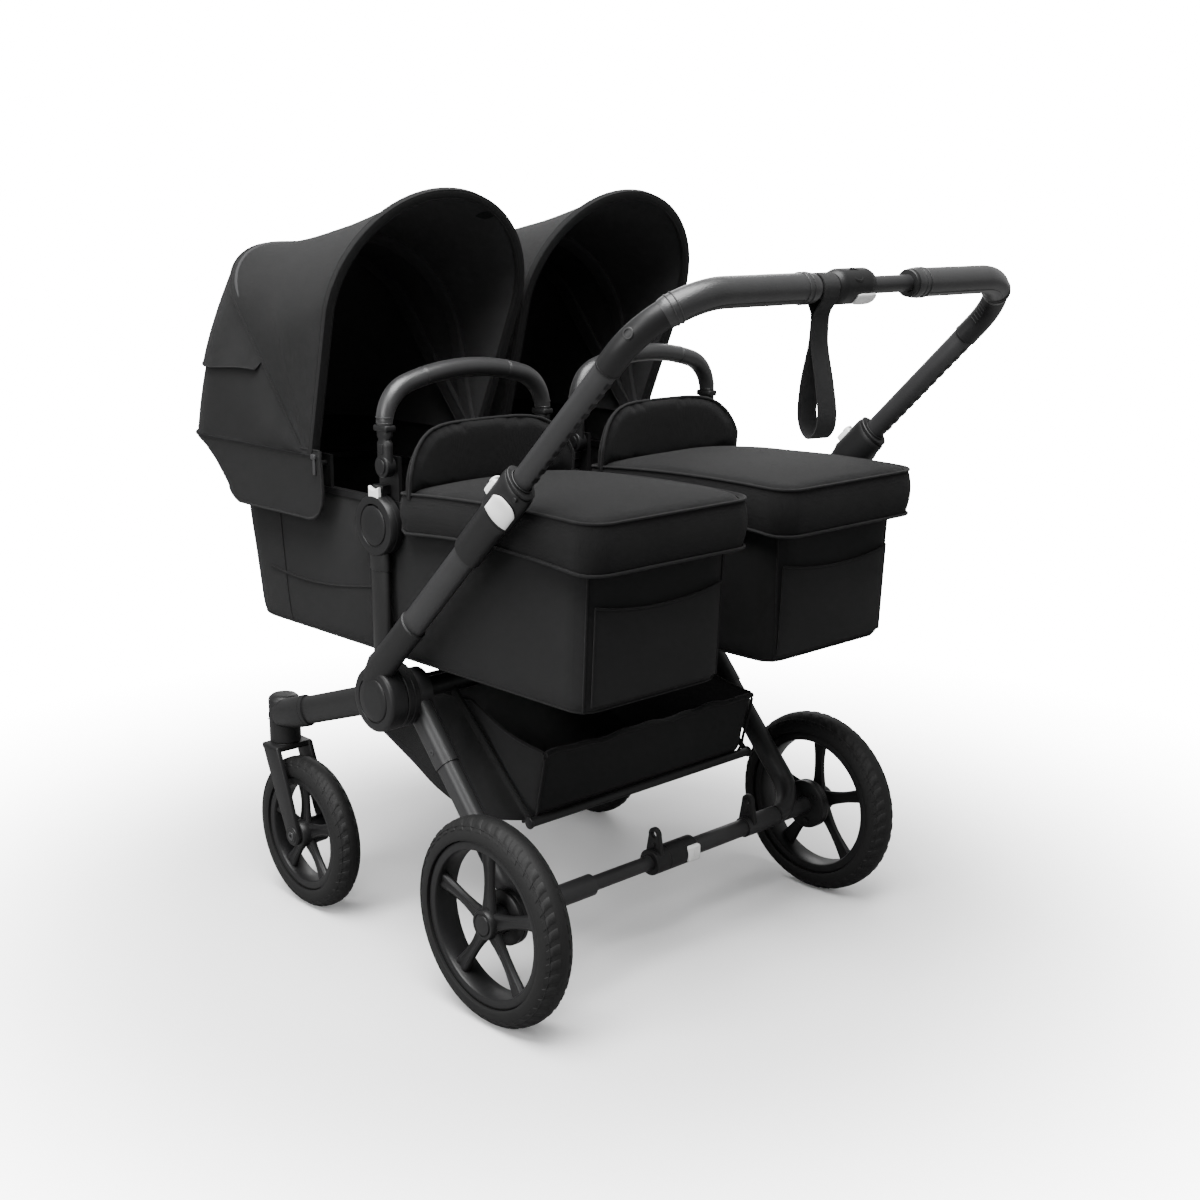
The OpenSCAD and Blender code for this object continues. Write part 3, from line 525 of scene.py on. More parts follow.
for name in ("front_arms", "cot_posts", "cross_tube", "basket_frame"):
    dress(name, ARM_PAINT)
for name in ("rear_legs", "axle_tubes", "outer_tubes", "inner_tubes"):
    dress(name, TUBE_PAINT)
for name in ("hinge_housings", "cot_clamps", "swivel_housings", "axle_connector",
             "brake_drums", "handle_hubs", "height_collars", "handle_elbows",
             "handlebar_clamp", "left_cot_frame", "right_cot_frame",
             "left_fork", "right_fork"):
    dress(name, BLACK_PLASTIC)
for side in ("left", "right"):
    for part in ("outer_button", "inner_button", "swivel_lock", "height_lever", "fold_trigger"):
        dress(f"{side}_{part}", WHITE_PLASTIC)
    for part in ("rear_bow", "mid_bow", "front_bow"):
        dress(f"{side}_{part}", SATIN_PLASTIC)
    for part in ("rear_tyre", "front_tyre"):
        dress(f"{side}_{part}", TYRE_RUBBER)
    for part in ("rear_rim", "front_rim"):
        dress(f"{side}_{part}", RIM_PLASTIC)
    for part in ("canopy", "apron", "cot_shell"):
        dress(f"{side}_{part}", LID_CLOTH)
    dress(f"{side}_mattress", MATTRESS_CLOTH)
    dress(f"{side}_carry_handle", GRIP_LEATHER)
dress("axle_latch", WHITE_PLASTIC)
dress("clamp_lever", WHITE_PLASTIC)
dress("handle_grips", GRIP_LEATHER)
dress("wrist_strap", STRAP_WEBBING)
dress("basket", BASKET_CLOTH)


# ---- Canopies ----
PIVOT = Vector((COT_X, at(-0.179), 0.735))
RIM_ANGLE = 70
MID_ANGLE = 107
BACK_ANGLE = 130
BAND_Z = 0.750
ACROSS = 73


def evenly(points, count):
    """Points spread evenly along a line through the given ones."""
    lengths = [0.0]
    for p, q in zip(points, points[1:]):
        lengths.append(lengths[-1] + (q - p).length)
    out = []
    k = 0
    for i in range(count):
        want = lengths[-1] * i / (count - 1)
        while k < len(points) - 2 and lengths[k + 1] < want:
            k += 1
        gap = lengths[k + 1] - lengths[k]
        out.append(points[k].lerp(points[k + 1], (want - lengths[k]) / gap if gap else 0))
    return out


def arch(angle, half, reach, corner, base=0.02, foot=0.160, count=ACROSS):
    """Outline of the canopy in one bow's plane, from the right foot over the top to the left."""
    up = Vector((0, math.cos(math.radians(angle)), math.sin(math.radians(angle))))
    flat = [(-foot, base), (-half, reach - corner)]
    for i in range(1, 25):
        turn = math.pi - math.pi / 2 * i / 24
        flat.append((-half + corner + corner * math.cos(turn), reach - corner + corner * math.sin(turn)))
    for i in range(0, 25):
        turn = math.pi / 2 - math.pi / 2 * i / 24
        flat.append((half - corner + corner * math.cos(turn), reach - corner + corner * math.sin(turn)))
    flat += [(foot, base)]
    return evenly([PIVOT + Vector((x, 0, 0)) + up * r for x, r in flat], count)


def plan_curve(z, half, front, back, corner, count=ACROSS):
    """The canopy's outline seen from above: up one side, round the head end and back."""
    flat = [(-half, front), (-half, back + corner)]
    for i in range(1, 25):
        turn = math.pi + math.pi / 2 * i / 24
        flat.append((-half + corner + corner * math.cos(turn), back + corner + corner * math.sin(turn)))
    for i in range(0, 25):
        turn = 1.5 * math.pi + math.pi / 2 * i / 24
        flat.append((half - corner + corner * math.cos(turn), back + corner + corner * math.sin(turn)))
    flat += [(half, front)]
    return evenly([Vector((COT_X + x, at(y), z)) for x, y in flat], count)


RIM_LINE = arch(RIM_ANGLE, 0.178, 0.418, 0.176)
MID_LINE = arch(MID_ANGLE, 0.168, 0.350, 0.160)
BACK_LINE = arch(BACK_ANGLE, 0.158, 0.408, 0.118)
BAND_LINE = plan_curve(BAND_Z, 0.1615, -0.19, -0.575, 0.105)


def between(a, b, t, sag, centre):
    """A row of fabric between two lines, drawn in by sag half way."""
    row = []
    for i, (p, q) in enumerate(zip(a, b)):
        point = p.lerp(q, t)
        pull = sag * math.sin(math.pi * t) * math.sin(math.pi * i / (len(a) - 1)) ** 0.5
        row.append(point + (centre - point).normalized() * pull)
    return row


def hood_rows(rim_steps, mid_steps, back_steps):
    centre = PIVOT + Vector((0, -0.08, 0.12))
    rows = [between(RIM_LINE, MID_LINE, i / rim_steps, 0.004, centre) for i in range(rim_steps)]
    rows += [between(MID_LINE, BACK_LINE, i / mid_steps, 0.003, centre) for i in range(mid_steps)]
    rows += [between(BACK_LINE, BAND_LINE, i / back_steps, -0.012, centre)
             for i in range(back_steps + 1)]
    return rows


def face_from(piece, centre):
    """Turns an open sheet's faces away from a point."""
    total = sum((face.center - centre).normalized().dot(face.normal) * face.area
                for face in piece.data.polygons)
    if total < 0:
        piece.data.flip_normals()
    return piece


HOOD_CENTRE = PIVOT + Vector((0, -0.08, 0.1))


def place_hood(piece, finish, *nodes, slot="canopy_fabric", angle=40):
    """Places a left and a right copy of a canopy piece, shaded and finished, with its transform baked in."""
    right = mirrored(piece, piece.name.replace("left_", "right_"))
    for side, part, sign in (("left", piece, 1), ("right", right, -1)):
        settle(part)
        bpy.ops.object.shade_smooth_by_angle(angle=math.radians(angle))
        part.data.materials.clear()
        part.data.materials.append(finish)
        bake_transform(part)
        if nodes:
            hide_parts(*[n.replace("left_", side + "_") for n in nodes])
    return piece, right


def crumple(rows, amount, scale, seed):
    """Small lasting creases: each point moves a little along its way out."""
    out = []
    for row in rows:
        line = []
        for p in row:
            push = noise.noise(p * scale + Vector((seed, 0, 0))) * amount
            line.append(p + (p - HOOD_CENTRE).normalized() * push)
        out.append(line)
    return out


hood = loft("left_canopy_cloth", crumple(hood_rows(14, 10, 22), 0.0016, 9, 3))
face_from(hood, HOOD_CENTRE)
modify(hood, "SOLIDIFY", thickness=0.0022, offset=-1)
hood_pair = place_hood(hood, CANOPY_CLOTH, "left_canopy")


def drawn_in(row, amount):
    return [p + (HOOD_CENTRE - p).normalized() * amount for p in row]


def lining_rows():
    rows = [drawn_in(row, 0.006) for row in hood_rows(18, 12, 20)]
    out = []
    for i, row in enumerate(rows):
        line = []
        slack = max(0.0, 1 - i / 16)
        for j, p in enumerate(row):
            ruffle = math.sin(j * 1.15) * math.sin(j * 0.37 + 1) * 0.0028 * slack * math.sin(
                math.pi * min(1, i / 6))
            ruffle += noise.noise(p * 14) * 0.0022
            line.append(p + (HOOD_CENTRE - p).normalized() * ruffle)
        out.append(line)
    return out


# The lining and the bow channels wear the lifted lining tone, painted fill light inside the hood
lining = loft("left_canopy_lining", lining_rows())
face_from(lining, HOOD_CENTRE)
lining.data.flip_normals()
modify(lining, "SOLIDIFY", thickness=0.0012, offset=-1)
place_hood(lining, LINING_CLOTH)


def swept(name, line, section, normals, closed_section=True):
    """Sweeps a small section of (out, forward) along a line with given out directions."""
    rows = []
    for i, p in enumerate(line):
        out_dir, ahead = normals(i, p)
        rows.append([p + out_dir * u + ahead * v for u, v in section])
    piece = loft(name, rows, closed=closed_section, caps=closed_section)
    return outward(piece)


def rounded_section(out_low, out_high, ahead_low, ahead_high, radius, steps=4):
    """A rectangle with round corners, as (out, ahead) pairs."""
    pts = []
    for cx, cy, start in ((out_high - radius, ahead_high - radius, 0), (out_low + radius,
            ahead_high - radius, 90),
                          (out_low + radius, ahead_low + radius, 180), (out_high - radius,
                              ahead_low + radius, 270)):
        for i in range(steps + 1):
            turn = math.radians(start + 90 * i / steps)
            pts.append((cx + radius * math.cos(turn), cy + radius * math.sin(turn)))
    return pts


def arch_frame(angle, line):
    """Out and forward directions along an arch in a bow's plane."""
    lean = math.radians(angle)
    ahead = Vector((0, math.sin(lean), -math.cos(lean)))

    def directions(i, p):
        along = (line[min(i + 1, len(line) - 1)] - line[max(i - 1, 0)]).normalized()
        out_dir = along.cross(ahead).normalized()
        if out_dir.dot(p - HOOD_CENTRE) < 0:
            out_dir = -out_dir
        return out_dir, ahead
    return directions


rim_line = arch(RIM_ANGLE, 0.178, 0.418, 0.176, base=-0.004, count=97)
rim_section = rounded_section(-0.0125, 0.0008, -0.007, 0.0045, 0.0036)
rim = swept("left_canopy_rim", rim_line, rim_section, arch_frame(RIM_ANGLE, rim_line))
place_hood(rim, CANOPY_CLOTH, "left_front_bow", angle=50)

rim_frame = arch_frame(RIM_ANGLE, rim_line)
piping_lines = [[p + rim_frame(i, p)[0] * u + rim_frame(i, p)[1] * v for i, p in enumerate(rim_line)]
                for u, v in ((-0.0119, 0.0030), (-0.0002, -0.0060), (0.0003, 0.0030))]
piping = join("left_canopy_rim_piping", [pipe(f"rim_cord_{k}", line, (0.0013, 0.001, 0.0009)[k])
                                         for k, line in enumerate(piping_lines)])
place_hood(piping, PIPING_CLOTH)

# Raised seam outside: over the back bow
back_seam = pipe("left_canopy_back_seam", [p + (p - HOOD_CENTRE).normalized() * 0.0006 for p in BACK_LINE],
        0.0016)
place_hood(back_seam, PIPING_CLOTH)


# Vent flap over the back panel, hemmed along its lower edge
def flap_rows(lift, low_z, steps=12):
    rows = []
    for k in range(steps + 1):
        row = []
        for i in range(ACROSS):
            start, end = BACK_LINE[i], BAND_LINE[i]
            if start.z < low_z + 0.01:
                continue
            t = (start.z - low_z) / (start.z - end.z) * k / steps
            t = t + 0.015 * math.sin(i * 0.4) * k / steps
            point = start.lerp(end, t)
            point += (point - HOOD_CENTRE).normalized() * (lift * (0.25 + 0.75 * k / steps)
                                                          + 0.012 * math.sin(math.pi * t))
            row.append(point)
        rows.append(row)
    return rows


flap_grid = flap_rows(0.0045, 0.862)
vent_flap = loft("left_canopy_vent_flap", flap_grid)
face_from(vent_flap, HOOD_CENTRE)
modify(vent_flap, "SOLIDIFY", thickness=0.0016, offset=-1)
hem = pipe("vent_flap_hem", flap_grid[-1], 0.0013)
vent_flap = join("left_canopy_vent_flap", [vent_flap, hem])
place_hood(vent_flap, CANOPY_CLOTH)

# Inside: sewn channels that hold the middle and the back bow
for label, angle, line, inset, node in (("mid", MID_ANGLE, MID_LINE, 0.010, "left_mid_bow"),
                                        ("back", BACK_ANGLE, BACK_LINE, 0.010, "left_rear_bow")):
    inner = [p + (HOOD_CENTRE - p).normalized() * inset for p in line]
    channel = swept(f"left_canopy_{label}_channel", inner,
                    rounded_section(-0.003, 0.005, -0.013, 0.013, 0.0028), arch_frame(angle, line))
    ribs = []
    for edge in (-0.0105, 0.0105):
        frame_at = arch_frame(angle, line)
        ribs.append(pipe("channel_stitch", [p + frame_at(i, p)[0] * -0.0032 + frame_at(i, p)[1] * edge
                                            for i, p in enumerate(inner)], 0.0007, resolution=2))
    channel = join(f"left_canopy_{label}_channel", [channel] + ribs)
    place_hood(channel, LINING_CLOTH, node, slot="canopy_fabric")


# Fixed band and skirt round the head end of the cot
def skirt_rows():
    rows = []
    for z, head, front, half in ((0.7575, -0.5735, -0.150, 0.1605), (0.7505, -0.5755, -0.148, 0.1618),
                                 (0.7480, -0.5765, -0.148, 0.1622), (0.7420, -0.5750, -0.147, 0.1620),
                                 (0.7200, -0.5520, -0.146, 0.1612), (0.6950, -0.5260, -0.146, 0.1606),
                                 (0.6780, -0.5090, -0.149, 0.1606), (0.6640, -0.4950, -0.1575, 0.1607),
                                 (0.6560, -0.4880, -0.170, 0.1609), (0.6530, -0.4850, -0.186, 0.1610)):
        row = plan_curve(z, half, front, head, 0.104)
        lifted = []
        for p in row:
            rise = max(0.0, (at(-0.384) - p.y) / 0.10)
            share = max(0.0, (0.742 - z) / 0.089)
            lifted.append(p + Vector((0, 0, 0.038 * min(1.0, rise) * share)))
        rows.append(lifted)
    return rows


skirt_grid = crumple(skirt_rows(), 0.0012, 11, 7)
skirt = loft("left_canopy_skirt", skirt_grid)
face_from(skirt, HOOD_CENTRE)
modify(skirt, "SOLIDIFY", thickness=0.002, offset=-1)
place_pair(skirt, "left_cot", "canopy_fabric", CANOPY_CLOTH, angle=40)
front_edge = [[row[0] for row in skirt_grid], [row[-1] for row in skirt_grid]]
edges = [pipe("skirt_hem", skirt_grid[-1], 0.0017)] + [pipe("skirt_edge", line,
        0.0024) for line in front_edge]
edges.append(pipe("band_top", skirt_grid[0], 0.0014))
skirt_piping = join("left_canopy_skirt_piping", edges)
place_pair(skirt_piping, "left_cot", "canopy_fabric", PIPING_CLOTH)


# Zip along the band: a coil of small teeth
def zip_teeth(line, pitch=0.0032):
    total = sum((q - p).length for p, q in zip(line, line[1:]))
    spots = evenly(line, int(total / pitch))
    teeth = []
    faces = []
    for i, p in enumerate(spots[1:-1], 1):
        along = (spots[i + 1] - spots[i - 1]).normalized()
        out_dir = Vector((-along.y, along.x, 0))
        if out_dir.dot(p - HOOD_CENTRE) < 0:
            out_dir = -out_dir
        base = len(teeth)
        for dz in (-0.0016, 0.0016):
            for du, dv in ((-0.0009, 0), (0.0009, 0), (0.0006, 0.0014), (-0.0006, 0.0014)):
                teeth.append(p + along * du + out_dir * (dv + 0.0006) + Vector((0, 0, dz)))
        faces += [(base + 3, base + 2, base + 1, base), (base + 4, base + 5, base + 6, base + 7),
                  (base + 2, base + 3, base + 7, base + 6), (base + 1, base + 2, base + 6, base + 5),
                  (base + 3, base, base + 4, base + 7)]
    return mesh_piece("left_canopy_zip", teeth, faces)


zip_line = [p + (p - HOOD_CENTRE).normalized() * 0.0002 for p in skirt_grid[2]]
zipper = outward(zip_teeth(zip_line))
place_pair(zipper, "left_cot", "canopy_fabric", SATIN_PLASTIC)
puller = block("left_zip_puller", (COT_X + 0.1625, at(-0.164), 0.7215), (COT_X + 0.1655, at(-0.158),
        0.7455), 0.0012)
slider = block("zip_slider", (COT_X + 0.1618, at(-0.167), 0.7440), (COT_X + 0.1668, at(-0.156), 0.7520),
        0.0018)
puller = join("left_zip_puller", [puller, slider])
place_pair(puller, "left_cot", "canopy_fabric", BOLT_STEEL)


# ---- Carrycots ----
def plump(piece, voxel, cap, swell, pressure=4.0, frames=20):
    """Blows a closed pad up like a filled cushion, along swell only, so its sewn outline stays put."""
    modify(piece, "REMESH", mode="VOXEL", voxel_size=voxel)
    rest = [v.co.copy() for v in piece.data.vertices]
    cloth = piece.modifiers.new("Cloth", "CLOTH")
    cloth.settings.quality = 4
    cloth.settings.use_pressure = True
    cloth.settings.uniform_pressure_force = pressure
    cloth.settings.effector_weights.gravity = 0
    cloth.point_cache.frame_start = 1
    cloth.point_cache.frame_end = frames
    for number in range(1, frames + 1):
        bpy.context.scene.frame_set(number)
    shaped = piece.evaluated_get(bpy.context.evaluated_depsgraph_get()).to_mesh()
    moved = [v.co.copy() for v in shaped.vertices]
    piece.modifiers.clear()
    bpy.context.scene.frame_set(1)
    for vertex, old, new in zip(piece.data.vertices, rest, moved):
        step = (new - old).dot(swell) * swell
        vertex.co = old + (step * (cap / step.length) if step.length > cap else step)
    return modify(piece, "SMOOTH", factor=0.5, iterations=3)


def outline(half, foot, head, foot_r, head_r, count=120, spin=0):
    """Plan outline of a cot as (x, y) from its centre: square foot, round head."""
    flat = []
    for cx, cy, r, start in ((half - foot_r, foot - foot_r, foot_r, 0), (-half + foot_r, foot - foot_r,
            foot_r, 90),
                             (-half + head_r, head + head_r, head_r, 180), (half - head_r, head + head_r,
                                 head_r, 270)):
        for i in range(13):
            turn = math.radians(start + 90 * i / 12)
            flat.append(Vector((cx + r * math.cos(turn), cy + r * math.sin(turn), 0)))
    flat.append(flat[0].copy())
    return evenly(flat, count + 1)[:-1]


def shell_ring(t, inset, z, swell=0.0):
    """One level of the cot's wall; t is 0 at the floor and 1 at the rim."""
    ring = outline(0.129 + 0.002 * t - inset, 0.381 + 0.012 * t - inset, -0.436 - 0.044 * t + inset,
                   0.022, 0.085 + 0.01 * t)
    out = []
    for p in ring:
        away = Vector((p.x / 0.13, (p.y + 0.03) / 0.42, 0))
        away.x, away.y = (away.x ** 5, away.y ** 5)
        away = away.normalized() if away.length else away
        flat_x = max(0.0, 1 - (p.y - (-0.02)) ** 2 / 0.16)
        flat_y = max(0.0, 1 - p.x ** 2 / 0.017)
        bulge = swell * (flat_x * abs(away.x) + flat_y * abs(away.y))
        point = Vector((COT_X + p.x, at(p.y), z)) + away * bulge
        point += away * noise.noise(point * 8) * 0.0016 * (1 if z > 0.475 else 0)
        out.append(point)
    return out


shell_levels = [shell_ring(0, inset, z) for inset, z in
                ((0.10, 0.4662), (0.05, 0.4660), (0.016, 0.4662), (0.008, 0.4672), (0.003, 0.4700), (0.0008,
                        0.4740))]
for k in range(1, 17):
    t = k / 16
    shell_levels.append(shell_ring(t, 0.0, 0.474 + 0.2155 * t, 0.0045 * math.sin(math.pi * min(1.0,
            t * 1.05))))
shell = loft("left_cot_fabric", shell_levels, closed=True)
deselect()
face_from(shell, Vector((COT_X, at(-0.03), 0.58)))
modify(shell, "SOLIDIFY", thickness=0.005, offset=-1)
floor_pan = mesh_piece("cot_floor", shell_levels[0], [tuple(range(len(shell_levels[0])))])
shell = join("left_cot_fabric", [shell, floor_pan])
place_pair(shell, "left_cot", "cot_fabric", SHELL_CLOTH, "left_cot_shell", angle=40)

bottom_cord = pipe("shell_bottom_cord", shell_levels[4], 0.0021, closed=True)


def wall_line(index, low=4, grow=0.0008):
    """A seam that climbs the wall at one place of its outline."""
    centre = Vector((COT_X, at(-0.03), 0.58))
    line = []
    for level in shell_levels[low:]:
        p = level[index]
        flat = Vector((p.x - centre.x, p.y - centre.y, 0)).normalized()
        line.append(p + flat * grow)
    return line


ring_flat = outline(0.129, 0.381, -0.436, 0.022, 0.085)


def nearest(x, y):
    return min(range(len(ring_flat)), key=lambda i: (ring_flat[i].x - x) ** 2 + (ring_flat[i].y - y) ** 2)


seam_cords = [bottom_cord]
for x, y in ((0.124, 0.376), (-0.124, 0.376), (0.129, -0.30), (-0.129, -0.30)):
    seam_cords.append(pipe("shell_seam", wall_line(nearest(x, y)), 0.0014))


def wall_point(x_sign, y, z, grow):
    """A point on the long side of the shell."""
    t = max(0.0, (z - 0.474) / 0.2155)
    swell = 0.0045 * math.sin(math.pi * min(1.0, t * 1.05)) * max(0.0, 1 - (y + 0.02) ** 2 / 0.16)
    return Vector((COT_X + x_sign * (0.129 + 0.002 * t + swell + grow), at(y), z))


for sign in (1, -1):
    side_pocket = [wall_point(sign, y, 0.566 - 0.020 * math.sin((y + 0.43) * 8.5), 0.0006)
                   for y in [-0.345 + 0.0135 * k for k in range(24)]]
    seam_cords.append(pipe("side_pocket_edge", side_pocket, 0.0015))
    seam_cords.append(pipe("side_panel_seam", [wall_point(sign, -0.022, 0.478 + 0.0112 * k, 0.0004)
                                               for k in range(19)], 0.0009))
seams = join("left_cot_seams", seam_cords)
place_pair(seams, "left_cot", "cot_fabric", PIPING_CLOTH)

# Pocket on the foot panel, with a sagging bound edge
pocket_rows = []
for k in range(9):
    v = k / 8
    row = []
    for i in range(41):
        u = -1 + i / 20
        top = 0.611 - 0.012 * (1 - u * u)
        z = 0.479 + (top - 0.479) * v
        t = (z - 0.474) / 0.2155
        lift = 0.0062 + 0.0045 * math.sin(math.pi * v) * (1 - u * u) + 0.002 * v * (1 - u ** 4)
        row.append(Vector((COT_X + 0.1165 * u, at(0.381 + 0.012 * t + lift - 0.003 * u ** 8), z)))
    pocket_rows.append(row)
pocket = loft("left_foot_pocket", pocket_rows)
face_from(pocket, Vector((COT_X, at(0), 0.58)))
modify(pocket, "SOLIDIFY", thickness=0.0018, offset=-1)
pocket_edge = pipe("pocket_edge", pocket_rows[-1], 0.0018)
pocket_sides = [pipe("pocket_side", [row[i] for row in pocket_rows], 0.0012) for i in (0, -1)]
pocket = join("left_foot_pocket", [pocket, pocket_edge] + pocket_sides)
place_pair(pocket, "left_cot", "cot_fabric", SHELL_CLOTH, angle=40)

# Mattress: a quilted pad, seen through the canopy's mouth
mattress = loft("left_mattress_pad", [
    [Vector((COT_X + p.x, at(p.y), z)) for p in outline(0.117 - inset, 0.369 - inset, -0.424 + inset, 0.02,
            0.078)]
    for inset, z in ((0.006, 0.4765), (0, 0.483), (0, 0.501), (0.008, 0.508))], closed=True, caps=True)
outward(mattress)
plump(mattress, 0.008, 0.005, Vector((0, 0, 1)))
mattress_pair = place_pair(mattress, "left_cot", "mattress_cover", MATTRESS_CLOTH, "left_mattress",
        angle=50)


# ---- Aprons ----
LID_HALF = 0.149
LID_FRONT = 0.020
LID_BACK = 0.421
LID_CORNER = 0.034


def lid_ring(inset, z_of, count=144):
    """The lid's outline: round corners at the foot, tighter ones at the flap."""
    out = []
    for p in outline(LID_HALF - inset, LID_BACK - inset, LID_FRONT + inset, LID_CORNER, 0.02, count):
        out.append(Vector((COT_X + p.x, at(p.y), z_of(p))))
    return out


def lid_edge_z(p):
    """Height of the lid's sewn top edge: nearly level, a little full behind the middle."""
    v = min(1.0, max(0.0, (p.y - LID_FRONT) / (LID_BACK - LID_FRONT)))
    return 0.728 - 0.0067 * (2 * v - 1.35) ** 2


def lid_low(p):
    """Lower edge of the band, rounded up at the front corners."""
    v = min(1.0, max(0.0, (p.y - LID_FRONT) / (LID_BACK - LID_FRONT)))
    corner = max(0.0, 1 - v / 0.055)
    return 0.6580 + 0.0115 * math.sin(math.pi * min(1.0, v * 1.05)) + 0.016 * corner ** 2


band_rings = []
for k in range(9):
    v = k / 8
    swell = -0.0048 * math.sin(math.pi * v) ** 0.8 + 0.0012 * (1 - v)
    band_rings.append(lid_ring(0.001 + swell, lambda p, v=v: lid_low(p) + (lid_edge_z(p) - lid_low(p)) * v))
lid_band = loft("left_apron_band", crumple(band_rings, 0.0012, 14, 11), closed=True)
face_from(lid_band, Vector((COT_X, at(0.22), 0.69)))
modify(lid_band, "SOLIDIFY", thickness=0.006, offset=-1)
place_pair(lid_band, "left_cot", "canopy_fabric", LID_CLOTH, "left_apron", angle=45)


def lid_surface(x, y, drop=0.0):
    """Top of the padded lid: crowned, with a shallow ditch along the sewn edge."""
    p = Vector((x, y, 0))
    u = min(1.0, abs(x) / LID_HALF)
    v = (y - LID_FRONT) / (LID_BACK - LID_FRONT)
    crown = 0.0100 * (1 - u ** 2.6) * (1 - abs(2 * v - 1) ** 5)
    return lid_edge_z(p) + crown - drop


pad_top, pad_low = [], []
COLS, ROWS = 40, 52
for i in range(ROWS + 1):
    line_top, line_low = [], []
    for j in range(COLS + 1):
        u = -1 + 2 * j / COLS
        v = i / ROWS
        y = LID_FRONT + 0.002 + (LID_BACK - LID_FRONT - 0.004) * v
        foot = max(0.0, y - (LID_BACK - LID_CORNER)) / LID_CORNER
        width = LID_HALF - 0.002 - LID_CORNER * (1 - math.sqrt(max(0.0, 1 - min(1.0, foot) ** 2)))
        x = u * width
        near_edge = max(abs(u), abs(2 * v - 1)) ** 14
        line_top.append(Vector((COT_X + x, at(y), lid_surface(x, y, 0.004 + 0.004 * near_edge))))
        line_low.append(Vector((COT_X + x, at(y), lid_edge_z(Vector((x, y,
                0))) - 0.016 + 0.008 * near_edge)))
    pad_top.append(line_top)
    pad_low.append(line_low)
top_sheet = loft("lid_top", pad_top)
low_sheet = loft("lid_low", pad_low)
rim_faces = []
border = ([(0, j) for j in range(COLS)] + [(i, COLS) for i in range(ROWS)]
          + [(ROWS, j) for j in range(COLS, 0, -1)] + [(i, 0) for i in range(ROWS, 0, -1)])
rim_points = [pad_top[i][j] for i, j in border] + [pad_low[i][j] for i, j in border]
n = len(border)
rim_faces = [(k, (k + 1) % n, (k + 1) % n + n, k + n) for k in range(n)]
lid_pad = join("left_apron_pad", [top_sheet, low_sheet, mesh_piece("lid_side", rim_points, rim_faces)])
outward(lid_pad)
plump(lid_pad, 0.005, 0.0065, Vector((0, 0, 1)), 5.0)
for vertex in lid_pad.data.vertices:
    vertex.co.z += noise.noise(vertex.co * 11) * 0.0012
pad_pair = place_pair(lid_pad, "left_cot", "canopy_fabric", LID_CLOTH, angle=60)

lid_cords = [pipe("lid_top_cord", lid_ring(-0.0006, lambda p: lid_edge_z(p) - 0.0006), 0.0019, closed=True),
             pipe("lid_low_cord", lid_ring(-0.0004, lambda p: lid_low(p) + 0.0012), 0.0022, closed=True)]
lid_piping = join("left_apron_piping", lid_cords)
place_pair(lid_piping, "left_cot", "canopy_fabric", PIPING_CLOTH)


# Wind flap: a padded upright panel, curved in plan, with round shoulders
FLAP_HALF = 0.153
FLAP_TOPS = ((0.0, 0.0865), (0.40, 0.0860), (0.55, 0.0840), (0.68, 0.0795), (0.78, 0.0720), (0.87, 0.0600),
             (0.94, 0.0450), (0.98, 0.0320), (1.0, 0.0220))


def flap_top(u):
    """Height of the flap's outline above the lid, at a share of its half width."""
    u = abs(u)
    for (u0, h0), (u1, h1) in zip(FLAP_TOPS, FLAP_TOPS[1:]):
        if u <= u1:
            return h0 + (h1 - h0) * (u - u0) / (u1 - u0)
    return FLAP_TOPS[-1][1]


def flap_point(u, v, depth):
    """u runs across, v up; depth is 0 on the flap's front face."""
    x = FLAP_HALF * u
    low = 0.7115
    z = low + (0.7225 + flap_top(u) - low) * v
    reach = 0.400 - depth
    y = 0.420 - math.sqrt(reach ** 2 - x ** 2) - 0.004 * (1 - v)
    return Vector((COT_X + x, at(y + 0.001), z))


flap_front = [[flap_point(-1 + i / 24, k / 10,
        0.0005 + 0.0035 * (abs(k / 5 - 1) ** 4)) for i in range(49)] for k in range(11)]
flap_rear = [[flap_point(-1 + i / 24, k / 10,
        0.0095 - 0.0035 * (abs(k / 5 - 1) ** 4)) for i in range(49)] for k in range(11)]
front_sheet = loft("flap_front", flap_front)
rear_sheet = loft("flap_rear", flap_rear)
edge_index = ([(0, j) for j in range(48)] + [(i, 48) for i in range(10)]
              + [(10, j) for j in range(48, 0, -1)] + [(i, 0) for i in range(10, 0, -1)])
m = len(edge_index)
edge_points = [flap_front[i][j] for i, j in edge_index] + [flap_rear[i][j] for i, j in edge_index]
edge_sheet = mesh_piece("flap_edge", edge_points, [(k, (k + 1) % m, (k + 1) % m + m,
        k + m) for k in range(m)])
wind_flap = join("left_wind_flap", [front_sheet, rear_sheet, edge_sheet])
outward(wind_flap)
plump(wind_flap, 0.003, 0.0050, Vector((0, 1, 0)))
flap_pair = place_pair(wind_flap, "left_cot", "canopy_fabric", LID_CLOTH, angle=60)
flap_cord_line = [flap_front[i][0].lerp(flap_rear[i][0], 0.5) for i in range(0, 11)]
flap_cord_line += [flap_front[10][j].lerp(flap_rear[10][j], 0.5) for j in range(1, 49)]
flap_cord_line += [flap_front[i][48].lerp(flap_rear[i][48], 0.5) for i in range(9, -1, -1)]
for p in flap_cord_line:
    inward = Vector((COT_X - p.x, 0, 0.735 - p.z)).normalized()
    p += inward * 0.0020
flap_cord = pipe("left_wind_flap_piping", smooth_path(flap_cord_line, 90), 0.0024)
place_pair(flap_cord, "left_cot", "canopy_fabric", PIPING_CLOTH)


